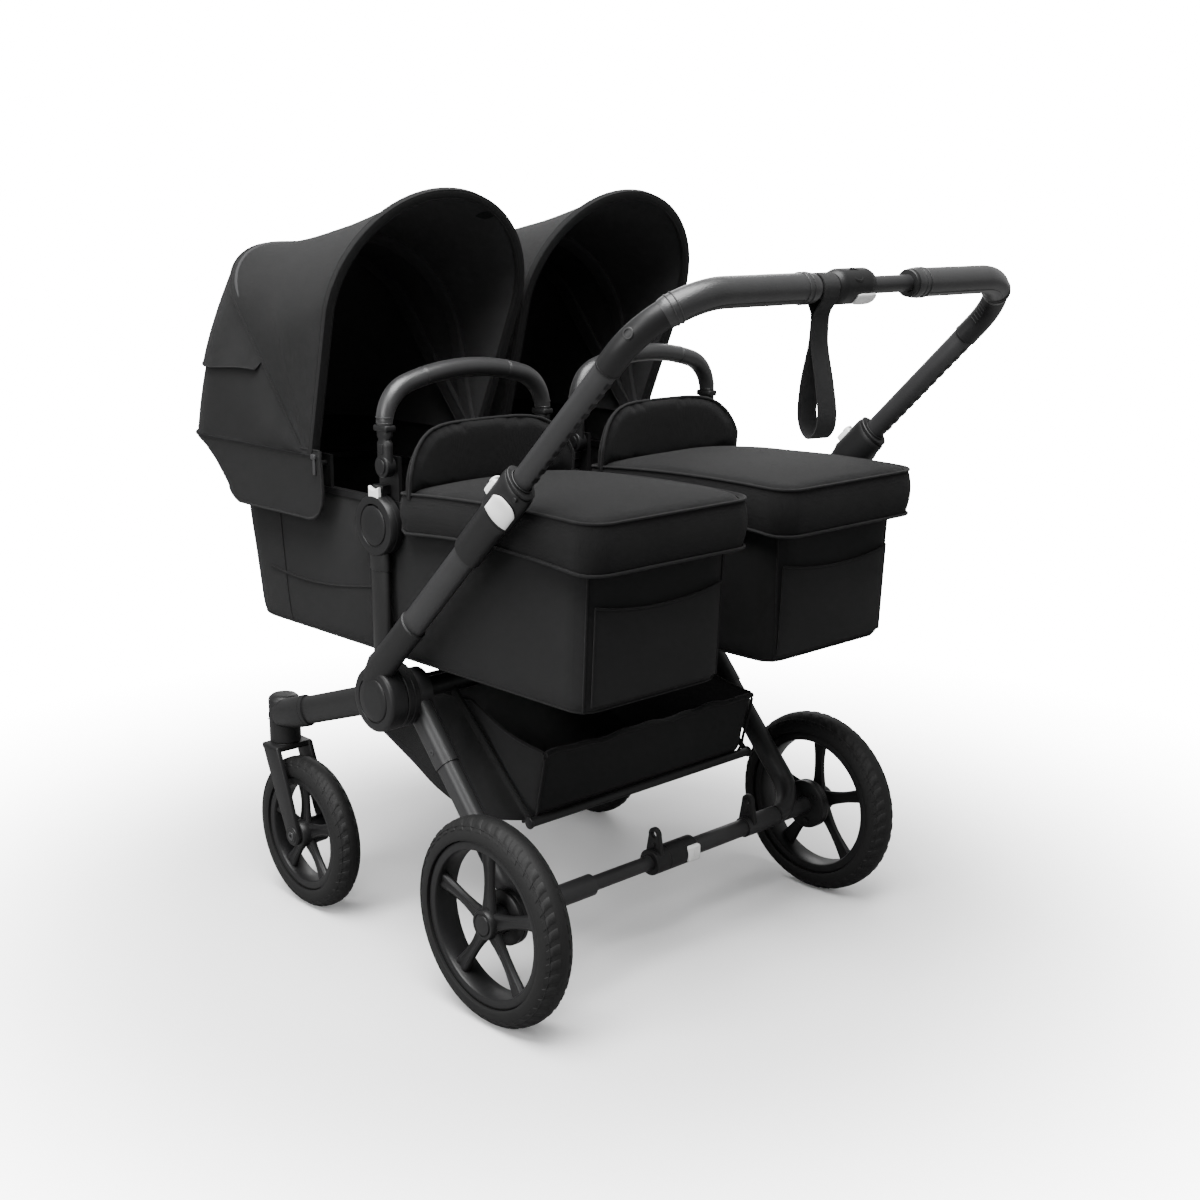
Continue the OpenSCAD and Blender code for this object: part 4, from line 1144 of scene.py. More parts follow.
# ---- Carry handles ----
SEAT_Y = at(-0.008)
CARRY_OFF = 0.146
ARC_R = 0.364
CORNER_R = 0.058
ARC_TURN = math.asin((CARRY_OFF - CORNER_R) / (ARC_R - CORNER_R))
CORNER_Z = 0.879 - ARC_R + (ARC_R - CORNER_R) * math.cos(ARC_TURN)


def carry_path():
    """Centre line from the left pivot up and over the arch to the right one."""
    half = [Vector((CARRY_OFF, 0, 0.750 + (CORNER_Z - 0.750) * k / 12)) for k in range(12)]
    for k in range(13):
        turn = (math.pi / 2 - ARC_TURN) * k / 12
        half.append(Vector((CARRY_OFF - CORNER_R + CORNER_R * math.cos(turn), 0,
                CORNER_Z + CORNER_R * math.sin(turn))))
    for k in range(1, 13):
        turn = ARC_TURN * (1 - k / 12)
        half.append(Vector((ARC_R * math.sin(turn), 0, 0.879 - ARC_R + ARC_R * math.cos(turn))))
    full = half + [Vector((-p.x, 0, p.z)) for p in half[-2::-1]]
    return [Vector((COT_X + p.x, SEAT_Y, p.z)) for p in full]


def tube_along(name, path, size_at, flat=Vector((0, 1, 0)), sides=28, caps=True):
    """A tube whose half sizes (along flat, across it) change along its path."""
    rows = []
    for i, p in enumerate(path):
        along = (path[min(i + 1, len(path) - 1)] - path[max(i - 1, 0)]).normalized()
        out_dir = along.cross(flat).normalized()
        a, b = size_at(i / (len(path) - 1), p)
        rows.append([p + flat * a * math.cos(TAU * k / sides) + out_dir * b * math.sin(TAU * k / sides)
                     for k in range(sides)])
    return outward(loft(name, rows, closed=True, caps=caps))


carry_line = smooth_path(carry_path(), 200)


def leather_size(t, p):
    """Leather sleeve: oval on the uprights, round over the arch, tight at its sewn ends."""
    rise = min(1.0, max(0.0, (p.z - 0.80) / 0.05))
    ends = min(1.0, abs(p.z - 0.8075) / 0.004) if p.z < 0.813 else 1.0
    return 0.0140 + 0.0006 * rise - 0.0012 * (1 - ends), 0.0090 + 0.0046 * rise - 0.0012 * (1 - ends)


leather_line = [p for p in carry_line if p.z > 0.807]
sleeve = tube_along("left_carry_leather", leather_line, leather_size)
rings = []
for z in (0.811, 0.819):
    for sign in (1, -1):
        a, b = leather_size(0, Vector((0, 0, z)))
        loop = [Vector((COT_X + sign * CARRY_OFF + (b - 0.0003) * math.cos(TAU * k / 40),
                        SEAT_Y + (a - 0.0003) * math.sin(TAU * k / 40), z)) for k in range(40)]
        rings.append(pipe("carry_ring", loop, 0.0008, closed=True, resolution=2))
for share in (0.285, 0.297, 0.703, 0.715):
    index = int(share * (len(leather_line) - 1))
    p, q = leather_line[index], leather_line[index + 1]
    along = (q - p).normalized()
    out_dir = along.cross(Vector((0, 1, 0))).normalized()
    a, b = leather_size(0, p)
    loop = [p + Vector((0, 1,
            0)) * (a - 0.0003) * math.cos(TAU * k / 40) + out_dir * (b - 0.0003) * math.sin(TAU * k / 40)
            for k in range(40)]
    rings.append(pipe("carry_ring", loop, 0.0008, closed=True, resolution=2))
under_seam = pipe("carry_under_seam", [p + (Vector((COT_X, SEAT_Y, 0.78)) - p).normalized() * 0.0141
                                       for p in leather_line[16:-16]], 0.0007, resolution=2)
sleeve = join("left_carry_leather", [sleeve, under_seam] + rings)
place_pair(sleeve, "left_carry_handle", "black_leather", GRIP_LEATHER, "left_carry_handle", angle=40)

uprights = []
for sign in (1, -1):
    x = COT_X + sign * CARRY_OFF
    post = tube_along("carry_post", [Vector((x, SEAT_Y, 0.745 + 0.066 * k / 14)) for k in range(15)],
                      lambda t, p: (0.0150 - 0.0035 * (abs(p.z - 0.787) < 0.003),
                          0.0082 - 0.0012 * (abs(p.z - 0.787) < 0.003)))
    eye = drum("carry_eye", (x - 0.008, SEAT_Y, 0.750), (1, 0, 0), 0.016, 0.0158, 0.002)
    cap = drum("carry_cap", (x + sign * 0.008, SEAT_Y, 0.750), (sign, 0, 0), 0.0022, 0.0105, 0.0008)
    ledge = block("carry_ledge", (x - 0.0092, SEAT_Y - 0.0158, 0.7990), (x + 0.0092, SEAT_Y + 0.0158,
            0.8085), 0.003)
    key = block("carry_key", (x + sign * 0.0075 - 0.0015, SEAT_Y - 0.006, 0.768),
            (x + sign * 0.0075 + 0.0015, SEAT_Y + 0.006, 0.782), 0.0012)
    uprights += [post, eye, cap, ledge, key]
uprights = join("left_carry_uprights", uprights)
place_pair(uprights, "left_carry_handle", "black_plastic", BLACK_PLASTIC, angle=40)


# ---- Shopping basket ----
BASKET_HALF = 0.222
BASKET_LINE = [(0.2035, 0.352), (0.196, 0.318), (0.186, 0.280), (0.178, 0.252), (0.150, 0.236), (0.120,
        0.2262),
               (0.060, 0.2125), (0.0, 0.2122), (-0.060, 0.2262), (-0.114, 0.2502), (-0.180, 0.2762),
               (-0.224, 0.2960), (-0.237, 0.320), (-0.2405, 0.352)]
profile = smooth_path([Vector((0, y, z)) for y, z in BASKET_LINE], 72)


def side_top(y):
    """Height of the basket's side edge, which droops between its hanging points."""
    if y > 0.04:
        t = (0.201 - y) / 0.161
        return 0.352 + 0.042 * max(0.0, t) - 0.010 * math.sin(math.pi * min(1.0, max(0.0, t)))
    if y < -0.10:
        return 0.394 - 0.042 * min(1.0, (-0.10 - y) / 0.14)
    return 0.394 - 0.004 * math.sin(math.pi * (0.04 - y) / 0.14)


def basket_row(p, i, shrink=0.0):
    """One U across the basket: down the near wall, over the floor, up the far wall."""
    row = []
    y, z = p.y, p.z
    top = max(z + 0.0004, side_top(y)) if i else z + 0.0004
    wall, corner = 12, 5
    for k in range(wall):
        v = 1 - k / wall
        pleat = 0.0045 * math.sin(y * 62 + 1.3 * math.sin(y * 23)) * math.sin(math.pi * v) if top - z > 0.02 else 0
        belly = 0.003 * math.sin(math.pi * v)
        lean = 0.004 * (1 - v) ** 2
        row.append(Vector((BASKET_HALF - 0.001 - shrink - lean + pleat * 0.6 - 0.003 + belly, at(y),
                           z + 0.009 * min(1, (top - z) / 0.03) + (top - z - 0.009 * min(1,
                               (top - z) / 0.03)) * v)))
    for k in range(corner):
        turn = math.pi / 2 * (k + 1) / corner
        low = 0.009 * min(1, (top - z) / 0.03)
        row.append(Vector((BASKET_HALF - 0.008 - shrink - 0.009 * (1 - math.cos(turn)), at(y),
                z + low * (1 - math.sin(turn)))))
    half = row[:]
    floor_half = []
    for k in range(1, 13):
        x = half[-1].x * (1 - k / 12)
        sag = -0.0035 * (1 - (x / half[-1].x) ** 2) * (1 if 8 < i < 60 else 0.2)
        floor_half.append(Vector((x, at(y), z + max(sag, 0.0) + 0.0004)))
    row = half + floor_half
    row = row + [Vector((-q.x, q.y, q.z)) for q in row[-2::-1]]
    return row


basket_rows = [basket_row(p, i) for i, p in enumerate(profile)]
for row_points in basket_rows:
    for q in row_points:
        q.x += noise.noise(q * 9) * 0.0025
        q.z += max(0.0, noise.noise(q * 7 + Vector((3, 1, 2)))) * 0.0025
tub = loft("basket_tub", basket_rows)
face_from(tub, Vector((0, at(-0.02), 0.34)))
modify(tub, "SOLIDIFY", thickness=0.0025, offset=-1)
place(tub, "chassis", "basket_fabric", BASKET_CLOTH, "basket", angle=50)

# Bound edges: a thick wavy one over the rear panel, finer ones along the sides and front
rear_edge = []
for k in range(61):
    x = BASKET_HALF * 0.985 * (1 - k / 30)
    wave = 0.0022 * math.sin(x * 41) + 0.0012 * math.sin(x * 97 + 1)
    rear_edge.append(Vector((x, at(0.2035) + 0.0012 * math.sin(x * 33), 0.3515 + wave)))
side_edges = []
for sign in (1, -1):
    line = [basket_rows[i][0 if sign > 0 else -1] + Vector((0, 0, 0.0008)) for i in range(2,
            len(profile) - 1)]
    side_edges.append(pipe("basket_side_edge", smooth_path(line, 90), 0.0026))
rim_edge = pipe("basket_rear_edge", smooth_path(rear_edge, 120), 0.0042)
front_edge = pipe("basket_front_edge", [Vector((BASKET_HALF * 0.97 * (1 - k / 15), at(-0.2400),
        0.3515)) for k in range(31)], 0.0026)
corner_cords = []
for sign in (1, -1):
    line = [Vector((sign * (BASKET_HALF - 0.0035 - 0.006 * (k / 9) ** 2), at(p.y) + 0.0012, p.z))
            for k, p in enumerate(profile[1:19:2])]
    corner_cords.append(pipe("basket_corner", smooth_path(line, 40), 0.0023))
tunnel_top = [Vector((x, at(0.1795) + 0.0008, 0.2575)) for x in [0.205 - 0.0205 * k for k in range(21)]]
corner_cords.append(pipe("basket_tunnel_stitch", tunnel_top, 0.0009, resolution=2))
binding = join("basket_binding", [rim_edge, front_edge] + side_edges + corner_cords)
place(binding, "chassis", "basket_fabric", PIPING_CLOTH)

# Mesh lining hung inside the upper walls
for sign, name in ((1, "basket_mesh_near"), (-1, "basket_mesh_far")):
    rows = []
    for i in range(6, 66):
        top = max(profile[i].z + 0.03, side_top(profile[i].y) - 0.002)
        row = []
        for k in range(13):
            v = k / 12
            inside = 0.0075 + 0.014 * math.sin(math.pi * v) * (0.6 + 0.4 * math.sin(profile[i].y * 30))
            row.append(Vector((sign * (BASKET_HALF - inside), at(profile[i].y),
                    top - (top - profile[i].z - 0.02) * v)))
        rows.append(row)
    strip = loft(name, rows)
    modify(strip, "SOLIDIFY", thickness=0.001, offset=0)
    outward(strip)
    place(strip, "chassis", "basket_fabric", BASKET_MESH, angle=60)

# Rod and hangers that carry the basket
rod = drum("basket_rod", (-0.232, at(0.1832), 0.2468), (1, 0, 0), 0.464, 0.007, 0.001, 32)
parts = [rod]
tunnels = []
for sign in (1, -1):
    outline_points = [(sign * 0.227, at(-0.012), HINGE_Z), (sign * 0.227, at(0.012), HINGE_Z),
                      (sign * 0.227, at(0.1832) + 0.007, 0.2468), (sign * 0.227, at(0.1832) - 0.007,
                          0.2468)]
    tunnels.append(extruded("basket_hanger", outline_points, (sign * 0.005, 0, 0), 0.0022, 4))
    parts.append(drum("basket_rod_cap", (sign * 0.2305, at(0.1832), 0.2468), (sign, 0, 0), 0.0035, 0.0088,
            0.001, 32))
place(join("basket_rod_and_ends", parts), "chassis", "satin_tube", ARM_PAINT, "basket_frame")
place(join("basket_hanger_tunnels", tunnels), "chassis", "basket_fabric", PIPING_CLOTH)


# ---- Wheels ----
TYRE_DEPTH = 0.031
REAR_R, REAR_WIDTH = 0.1495, 0.049
FRONT_R, FRONT_WIDTH = 0.124, 0.042
AXLE_BORE = 0.0061


def tyre(name, centre, r, width, sipes):
    """Air-tyre section with a worn tread band, shoulder grooves and curved sipes."""
    half = width / 2
    section = []
    for k in range(33):
        turn = math.radians(-128 + 256 * k / 32)
        a = half * math.sin(turn) * 0.995
        rad = r - half - 0.002 + (half + 0.002) * math.cos(turn)
        if abs(a) < half * 0.30:
            rad = min(rad, r - 0.00002)
        section.append((a, max(rad, r - TYRE_DEPTH + 0.0008)))
    low = r - TYRE_DEPTH
    foot = half * 0.60
    section = ([(-foot, low + 0.0004)] + section
               + [(foot, low + 0.0004), (foot, low - 0.0004), (-foot, low - 0.0004)])
    section.append(section[0])
    pieces = [lathe(name, section, centre, (1, 0, 0), 128)]
    # Raised tread bars leave curved sipes between them on both shoulders
    for sign in (1, -1):
        bar_points, bar_faces = [], []
        for n in range(sipes):
            start = TAU * n / sipes
            base = len(bar_points)
            steps = 6
            for k in range(steps + 1):
                v = k / steps
                turn = math.radians(20 + 44 * v)
                a = sign * half * math.sin(turn)
                rad = r - half - 0.002 + (half + 0.002) * math.cos(turn)
                sweep = 0.30 * TAU / sipes * (v ** 1.6) * 1.6
                for w, lift in ((0.0, -0.0006), (0.10, 0.0008), (0.62, 0.0008), (0.72, -0.0006)):
                    theta = start + TAU / sipes * w + sweep
                    out = rad + lift * math.cos(turn)
                    out = min(out, r - 0.00005)
                    bar_points.append(Vector(centre) + Vector((a + lift * math.sin(turn) * sign,
                            out * math.sin(theta), out * math.cos(theta))))
            for k in range(steps):
                for w in range(3):
                    q = base + k * 4 + w
                    bar_faces.append((q, q + 1, q + 5, q + 4))
            bar_faces.append((base, base + 1, base + 2, base + 3))
            end = base + steps * 4
            bar_faces.append((end + 3, end + 2, end + 1, end))
            for k in range(steps):
                q = base + k * 4
                bar_faces.append((q, q + 4, q + 7, q + 3))
        pieces.append(outward(mesh_piece("tread", bar_points, bar_faces)))
    for a in (-0.80, 0.80):
        turn = math.asin(a * 0.98)
        rad = r - half - 0.002 + (half + 0.002) * math.cos(turn)
        line = [Vector(centre) + Vector((half * a, rad * math.sin(TAU * k / 96),
                rad * math.cos(TAU * k / 96))) for k in range(96)]
        pieces.append(pipe("sidewall_line", line, 0.0009, closed=True, resolution=2))
    return join(name, pieces)


def rim(name, centre, r, width, out_hub, in_hub, bore, outer_cap=True):
    """Five-spoke moulded rim: channel, tapered dished spokes and a capped hub."""
    low = r - TYRE_DEPTH
    half = width / 2 - 0.005
    channel = [(-half, low - 0.0004), (-half - 0.0015, low - 0.004), (-half, low - 0.0120), (-half + 0.002,
            low - 0.0135),
               (half - 0.002, low - 0.0135), (half, low - 0.0120), (half + 0.0015, low - 0.004), (half,
                   low - 0.0004)]
    channel.append(channel[0])
    parts = [lathe(name, channel, centre, (1, 0, 0), 96)]
    for n in range(5):
        spin = math.radians(90 + 72 * n)
        rows = []
        for k in range(13):
            t = k / 12
            dist = 0.016 + (low - 0.0075 - 0.016) * t
            wide = 0.0138 - 0.0042 * math.sin(math.pi * min(1, t * 1.1))
            face = 0.0138 - 0.0035 * math.sin(math.pi * t)
            back = 0.0015
            ring = []
            for a, w in ((back, 0.72), (back + 0.003, 0.96), (face - 0.004, 0.94), (face - 0.0008, 0.72),
                    (face, 0.45),
                         (face - 0.0016, 0.20), (face - 0.0016, -0.20), (face, -0.45), (face - 0.0008,
                             -0.72),
                         (face - 0.004, -0.94), (back + 0.003, -0.96), (back, -0.72)):
                radial = Vector((0, math.cos(spin), math.sin(spin)))
                across = Vector((0, -math.sin(spin), math.cos(spin)))
                ring.append(Vector(centre) + Vector((a, 0, 0)) + radial * dist + across * (wide * w))
            rows.append(ring)
        parts.append(outward(loft("spoke", rows, closed=True, caps=True)))
    hub = [(in_hub, bore), (in_hub, 0.0195), (in_hub + 0.0015, 0.021), (0.0135, 0.0225), (out_hub - 0.002,
            0.0210), (out_hub - 0.0006, 0.0200)]
    if outer_cap:
        hub += [(out_hub - 0.0006, 0.0168), (out_hub - 0.0018, 0.0162), (out_hub - 0.0018, 0.0150),
                (out_hub + 0.0002, 0.0142), (out_hub + 0.0006, 0.006), (out_hub + 0.0006, 0.0),
                (out_hub - 0.004, 0.0), (out_hub - 0.004, bore)]
    else:
        hub += [(out_hub, 0.019), (out_hub, bore)]
    hub.append(hub[0])
    parts.append(lathe("hub", hub, centre, (1, 0, 0), 64))
    return join(name, parts)


REAR_AXLE = Vector((0.3455, at(0.2375), 0.1495))
FRONT_AXLE = Vector((0.308, at(-0.274), 0.124))
rear_tyre = tyre("left_rear_tyre_tread", REAR_AXLE, REAR_R, REAR_WIDTH, 44)
place_pair(rear_tyre, "left_rear_wheel", "tyre", TYRE_RUBBER, "left_rear_tyre", angle=40)
front_tyre = tyre("left_front_tyre_tread", FRONT_AXLE, FRONT_R, FRONT_WIDTH, 38)
place_pair(front_tyre, "left_front_wheel", "tyre", TYRE_RUBBER, "left_front_tyre", angle=40)
rear_rim = rim("left_rear_wheel_rim", REAR_AXLE, REAR_R, REAR_WIDTH, 0.021, 0.3314 - 0.3455, AXLE_BORE)
place_pair(rear_rim, "left_rear_wheel", "rim_plastic", RIM_PLASTIC, "left_rear_rim", angle=40)
front_rim = rim("left_front_wheel_rim", FRONT_AXLE, FRONT_R, FRONT_WIDTH, 0.0252, -0.0252, AXLE_BORE,
               outer_cap=False)
place_pair(front_rim, "left_front_wheel", "rim_plastic", RIM_PLASTIC, "left_front_rim", angle=40)


# ---- Front forks ----
def blade(inner, outer):
    """One broad fork blade, wide at the crown and round at the axle."""
    y0, z0 = at(-0.334), 0.263
    ya, za = FRONT_AXLE.y, FRONT_AXLE.z
    line = [(y0 - 0.018, z0), (y0 + 0.026, z0)]
    for k in range(5):
        t = k / 4
        line.append((y0 + 0.026 + (ya + 0.017 - y0 - 0.026) * t,
                z0 + (za - z0) * t + 0.004 * math.sin(math.pi * t)))
    for k in range(1, 16):
        turn = -math.pi * k / 16
        line.append((ya + 0.017 * math.cos(turn), za + 0.017 * math.sin(turn)))
    for k in range(5):
        t = 1 - k / 4
        line.append((y0 - 0.018 + (ya - 0.017 - y0 + 0.018) * t,
                z0 + (za - z0) * t - 0.002 * math.sin(math.pi * t)))
    clean = []
    for p in line:
        if not clean or (abs(p[0] - clean[-1][0]) + abs(p[1] - clean[-1][1])) > 0.0004:
            clean.append(p)
    if abs(clean[0][0] - clean[-1][0]) + abs(clean[0][1] - clean[-1][1]) < 0.0004:
        clean.pop()
    return extruded("fork_blade", [(inner, y, z) for y, z in clean], (outer - inner, 0, 0), 0.0022, 3)


SWIVEL = Vector((0.308, at(-0.334), 0))
fork_parts = []
for sign in (1, -1):
    inner = SWIVEL.x + sign * 0.026
    outer = SWIVEL.x + sign * 0.034
    fork_parts.append(blade(inner, outer))
    fork_parts.append(lathe("fork_boss", [(0, 0.0), (0, 0.0155), (0.0012, 0.0148), (0.0012, 0.0118),
            (0.0022, 0.011), (0.0022, 0.0)],
                            (outer, FRONT_AXLE.y, FRONT_AXLE.z), (sign, 0, 0), 48))
crown = block("fork_crown", (SWIVEL.x - 0.034, SWIVEL.y - 0.018, 0.2535), (SWIVEL.x + 0.034,
        SWIVEL.y + 0.026, 0.2635), 0.003)
neck = lathe("fork_neck", [(0.0, 0.0), (0.0, 0.0235), (0.0012, 0.0247), (0.0098, 0.0247), (0.0108, 0.0238),
        (0.0108, 0.0)],
             (SWIVEL.x, SWIVEL.y, 0.2533), (0, 0, 1), 64)
pin = drum("fork_pin", (SWIVEL.x, SWIVEL.y, 0.258), (0, 0, 1), 0.055, 0.007, 0.0006, 32)
axle = drum("fork_axle", (SWIVEL.x - 0.034, FRONT_AXLE.y, FRONT_AXLE.z), (1, 0, 0), 0.068, 0.0059, 0.0005,
        32)
fork_piece = join("left_fork_frame", fork_parts + [crown, neck, pin, axle])
place_pair(fork_piece, "left_fork", "black_plastic", BLACK_PLASTIC, "left_fork", angle=35)
bolts = [lathe("left_fork_bolts", [(0, 0.0), (0, 0.0072), (0.0008, 0.0068), (0.0008, 0.0036), (-0.0004,
        0.0034), (-0.0004, 0.0)],
               (SWIVEL.x + sign * 0.0362, FRONT_AXLE.y, FRONT_AXLE.z), (sign, 0, 0), 32) for sign in (1,
                   -1)]
place_pair(join("left_fork_bolts", bolts), "left_fork", "black_plastic", BOLT_STEEL, angle=35)


# ---- Handlebar ----
def oval_tube(name, stations, x=HANDLE_X, off=0.0, sides=40):
    """A tube along the handle's line; stations are (s, half width in X, half depth)."""
    rows = []
    for s, a, b in stations:
        c = on_tube(s, off, x)
        rows.append([c + Vector((a * math.cos(TAU * k / sides), 0,
                0)) + OFF_TUBE * (b * math.sin(TAU * k / sides))
                     for k in range(sides)])
    return outward(loft(name, rows, closed=True, caps=True))


def tube_drum(name, s, off, x, axis, length, radius, edge=0.0006, sides=32):
    return drum(name, on_tube(s, off, x), axis, length, radius, edge, sides)


def bore(piece, low, high):
    """Opens a tube or collar for the inner tube and its notches to slide in."""
    cutter = oval_tube("bore", [(low, 0.0124, 0.0174), (high, 0.0124, 0.0174)])
    modify(piece, "BOOLEAN", operation="DIFFERENCE", object=cutter, solver="EXACT")
    bpy.data.objects.remove(cutter)
    return piece


SIDE = Vector((1, 0, 0))
outer = oval_tube("handle_outer_tubes", [(0.140, 0.0138, 0.0198), (0.1405, 0.014, 0.020), (0.380, 0.014,
        0.020), (0.4685, 0.014, 0.020), (0.4690, 0.0138, 0.0198)])
inner = oval_tube("handle_inner_tubes", [(0.330, 0.0108, 0.0158), (0.3305, 0.011, 0.016), (0.6895, 0.0115,
        0.0165), (0.702, 0.011, 0.016)])
place(both_sides(bore(outer, 0.150, 0.490)), "handle_base", "satin_tube", TUBE_PAINT, "outer_tubes")
# The notches are thin dark slabs on the tube, painted shade for slots that are not cut
notches = []
for n in range(11):
    s = 0.492 + 0.018 * n
    slot = oval_tube("tube_notch", [(s, 0.0042, 0.0003), (s + 0.0006, 0.0046, 0.0005), (s + 0.0094, 0.0046,
            0.0005), (s + 0.010, 0.0042, 0.0003)], off=-0.0161, sides=12)
    notches.append(slot)
place(both_sides(inner), "handlebar", "satin_tube", TUBE_PAINT, "inner_tubes")
place(both_sides(join("tube_notches", notches)), "handlebar", "black_plastic", SLOT_SHADE_PLASTIC)

# Collars: a stepped clamp with a flared shoulder, a top ring and a small screw
collar = oval_tube("left_collar", [
    (0.3180, 0.0148, 0.0212), (0.3186, 0.0160, 0.0236), (0.3210, 0.0165, 0.0244), (0.3900, 0.0166, 0.0246),
            (0.3975, 0.0166, 0.0262),
    (0.4040, 0.0167, 0.0284), (0.4090, 0.0168, 0.0290), (0.4600, 0.0168, 0.0290), (0.4655, 0.0166, 0.0284),
        (0.4670, 0.0160, 0.0272),
    (0.4674, 0.0150, 0.0250), (0.4700, 0.0150, 0.0250), (0.4704, 0.0162, 0.0268), (0.4732, 0.0162, 0.0268),
        (0.4740, 0.0154, 0.0256),
    (0.4740, 0.0128, 0.0182)])
seam_ring = oval_tube("collar_seam", [(0.4052, 0.0160, 0.028), (0.4054, 0.0171, 0.0293), (0.4064, 0.0171,
        0.0293), (0.4066, 0.016, 0.028)])
screw = tube_drum("collar_screw", 0.4630, -0.018, HANDLE_X + 0.0125, SIDE, 0.0042, 0.0034)
lip = oval_tube("tube_lip", [(0.4738, 0.0120, 0.0172), (0.4745, 0.0132, 0.0186), (0.4765, 0.0132, 0.0186),
        (0.4772, 0.0118, 0.0170)])
place(both_sides(join("height_collar_shells", [bore(part, 0.300, 0.490) for part in (collar, seam_ring,
        lip)] + [screw])), "handle_base", "black_plastic", BLACK_PLASTIC, "height_collars")


# White levers: a curved band that wraps the collar's back corner, with a thumb dish
def lever_skin(out, s, turn, thick):
    """A point on the lever; turn goes from the collar's side (0) round to its back (-90 degrees)."""
    a, b = 0.0172 + thick, 0.0296 + thick
    return on_tube(s, b * math.sin(turn), HANDLE_X + a * math.cos(turn)) + OFF_TUBE * out


lever_front, lever_back = [], []
for k in range(17):
    v = k / 16
    line_front, line_back = [], []
    for n in range(25):
        u = -1 + n / 12
        turn = math.radians(-24 + 42 * u)
        top = 0.4500 - 0.0120 * abs(u) ** 2.6
        s_here = 0.4128 + (top - 0.4128) * v
        rim_share = max(abs(u), abs(2 * v - 1)) ** 8
        dish = 0.0009 * math.exp(-((u * 1.5) ** 2 + ((v - 0.66) * 3.4) ** 2))
        line_front.append(lever_skin(0, s_here, turn, 0.0034 - 0.0011 * rim_share - dish))
        line_back.append(lever_skin(0, s_here, turn, 0.0009))
    lever_front.append(line_front)
    lever_back.append(line_back)
ring = ([(0, j) for j in range(24)] + [(i, 24) for i in range(16)] + [(16, j) for j in range(24, 0,
        -1)] + [(i, 0) for i in range(16, 0, -1)])
count = len(ring)
lever_points = [lever_front[i][j] for i, j in ring] + [lever_back[i][j] for i, j in ring]
lever_edge = mesh_piece("lever_edge", lever_points, [(k, (k + 1) % count, (k + 1) % count + count,
        k + count) for k in range(count)])
lever_piece = join("left_lever_slab", [loft("lever_front", lever_front), loft("lever_back", lever_back),
        lever_edge])
outward(lever_piece)
place_pair(lever_piece, "left_height_lever", "white_plastic", WHITE_PLASTIC, "left_height_lever", angle=40)

# White triggers: a tapered tongue with a finger loop
s0 = 0.4144
trigger_outline = [(s0, 0.0230), (s0, 0.0338), (s0 + 0.004, 0.0345), (s0 + 0.013, 0.0345), (s0 + 0.026,
        0.0325), (s0 + 0.026, 0.0230)]
tongue = extruded("trigger_tongue", [on_tube(s, w, HANDLE_X - 0.0075) for s, w in trigger_outline], (0.015,
        0, 0), 0.0016)
loop_points = []
for k in range(40):
    turn = TAU * k / 40
    loop_points.append(on_tube(0.4345 + 0.0062 * math.cos(turn), 0.0335,
            HANDLE_X + 0.0062 * math.sin(turn)))
finger_loop = pipe("trigger_loop", loop_points, 0.0018, closed=True)
trigger = join("left_trigger_tongue", [tongue, finger_loop])
place_pair(trigger, "left_fold_trigger", "white_plastic", WHITE_PLASTIC, "left_fold_trigger")

# Elbows: a sleeve over the tube that bends inwards
BEND = 0.100
BEND_CENTRE = on_tube(0.715, 0, HANDLE_X - BEND)


def on_bend(turn, r=BEND):
    return BEND_CENTRE + Vector((math.cos(turn) * r, 0, 0)) + UP_TUBE * (math.sin(turn) * r)


def bent_tube(name, path, size_at, sides=40):
    rows = []
    for i, p in enumerate(path):
        along = (path[min(i + 1, len(path) - 1)] - path[max(i - 1, 0)]).normalized()
        side = along.cross(OFF_TUBE).normalized()
        r = size_at(i, p)
        rows.append([p + side * r * math.cos(TAU * k / sides) + OFF_TUBE * r * math.sin(TAU * k / sides) for k in range(sides)])
    return outward(loft(name, rows, closed=True, caps=True))


elbow_path = [on_tube(0.690 + 0.0025 * k) for k in range(10)] + [on_bend(math.radians(43) * k / 24) for k in range(25)]


def elbow_size(i, p):
    return {0: 0.0158, 1: 0.0169}.get(i, 0.0170)


elbow = bent_tube("left_elbow", elbow_path, elbow_size)
elbow_ring = oval_tube("elbow_ring", [(0.6925, 0.0165, 0.0165), (0.6928, 0.0174, 0.0174), (0.6945, 0.0174,
        0.0174), (0.6948, 0.0165, 0.0165)])
socket = lathe("elbow_socket", [(-0.004, 0.0), (-0.004, 0.0078), (0.0008, 0.0074), (0.0014, 0.0066),
        (0.0014, 0.0052), (-0.0006, 0.0048), (-0.0006, 0.0)],
               on_bend(math.radians(19), BEND + 0.0158), on_bend(math.radians(19), 1.0) - BEND_CENTRE, 40)
near_elbow = join("left_elbow", [elbow, elbow_ring, socket])
place(near_elbow, "handlebar", "black_plastic", BLACK_PLASTIC, "handle_elbows")
far_elbow = mirrored(near_elbow, "right_elbow")
# The vents are dark bars set into the elbow, painted shade for slots that are not cut
vents = []
for n in range(6):
    turn = math.radians(8 + 4.6 * n)
    here = on_bend(turn, BEND - 0.0166)
    vent = block("vent", (-0.0007, -0.0062, -0.0011), (0.0007, 0.0062, 0.0011), 0.0004)
    out_dir = (on_bend(turn, 1.0) - BEND_CENTRE).normalized()
    along = OFF_TUBE.cross(out_dir)
    frame_matrix = Matrix((out_dir, OFF_TUBE, along)).transposed().to_4x4()
    vent.data.transform(Matrix.Translation(here) @ frame_matrix)
    vents.append(vent)
vent_piece = mirrored(join("elbow_vents_near", vents), "elbow_vents")
bpy.data.objects.remove(bpy.data.objects["elbow_vents_near"])
place(far_elbow, "handlebar", "black_plastic", BLACK_PLASTIC, angle=35)
place(vent_piece, "handlebar", "black_plastic", SLOT_SHADE_PLASTIC)


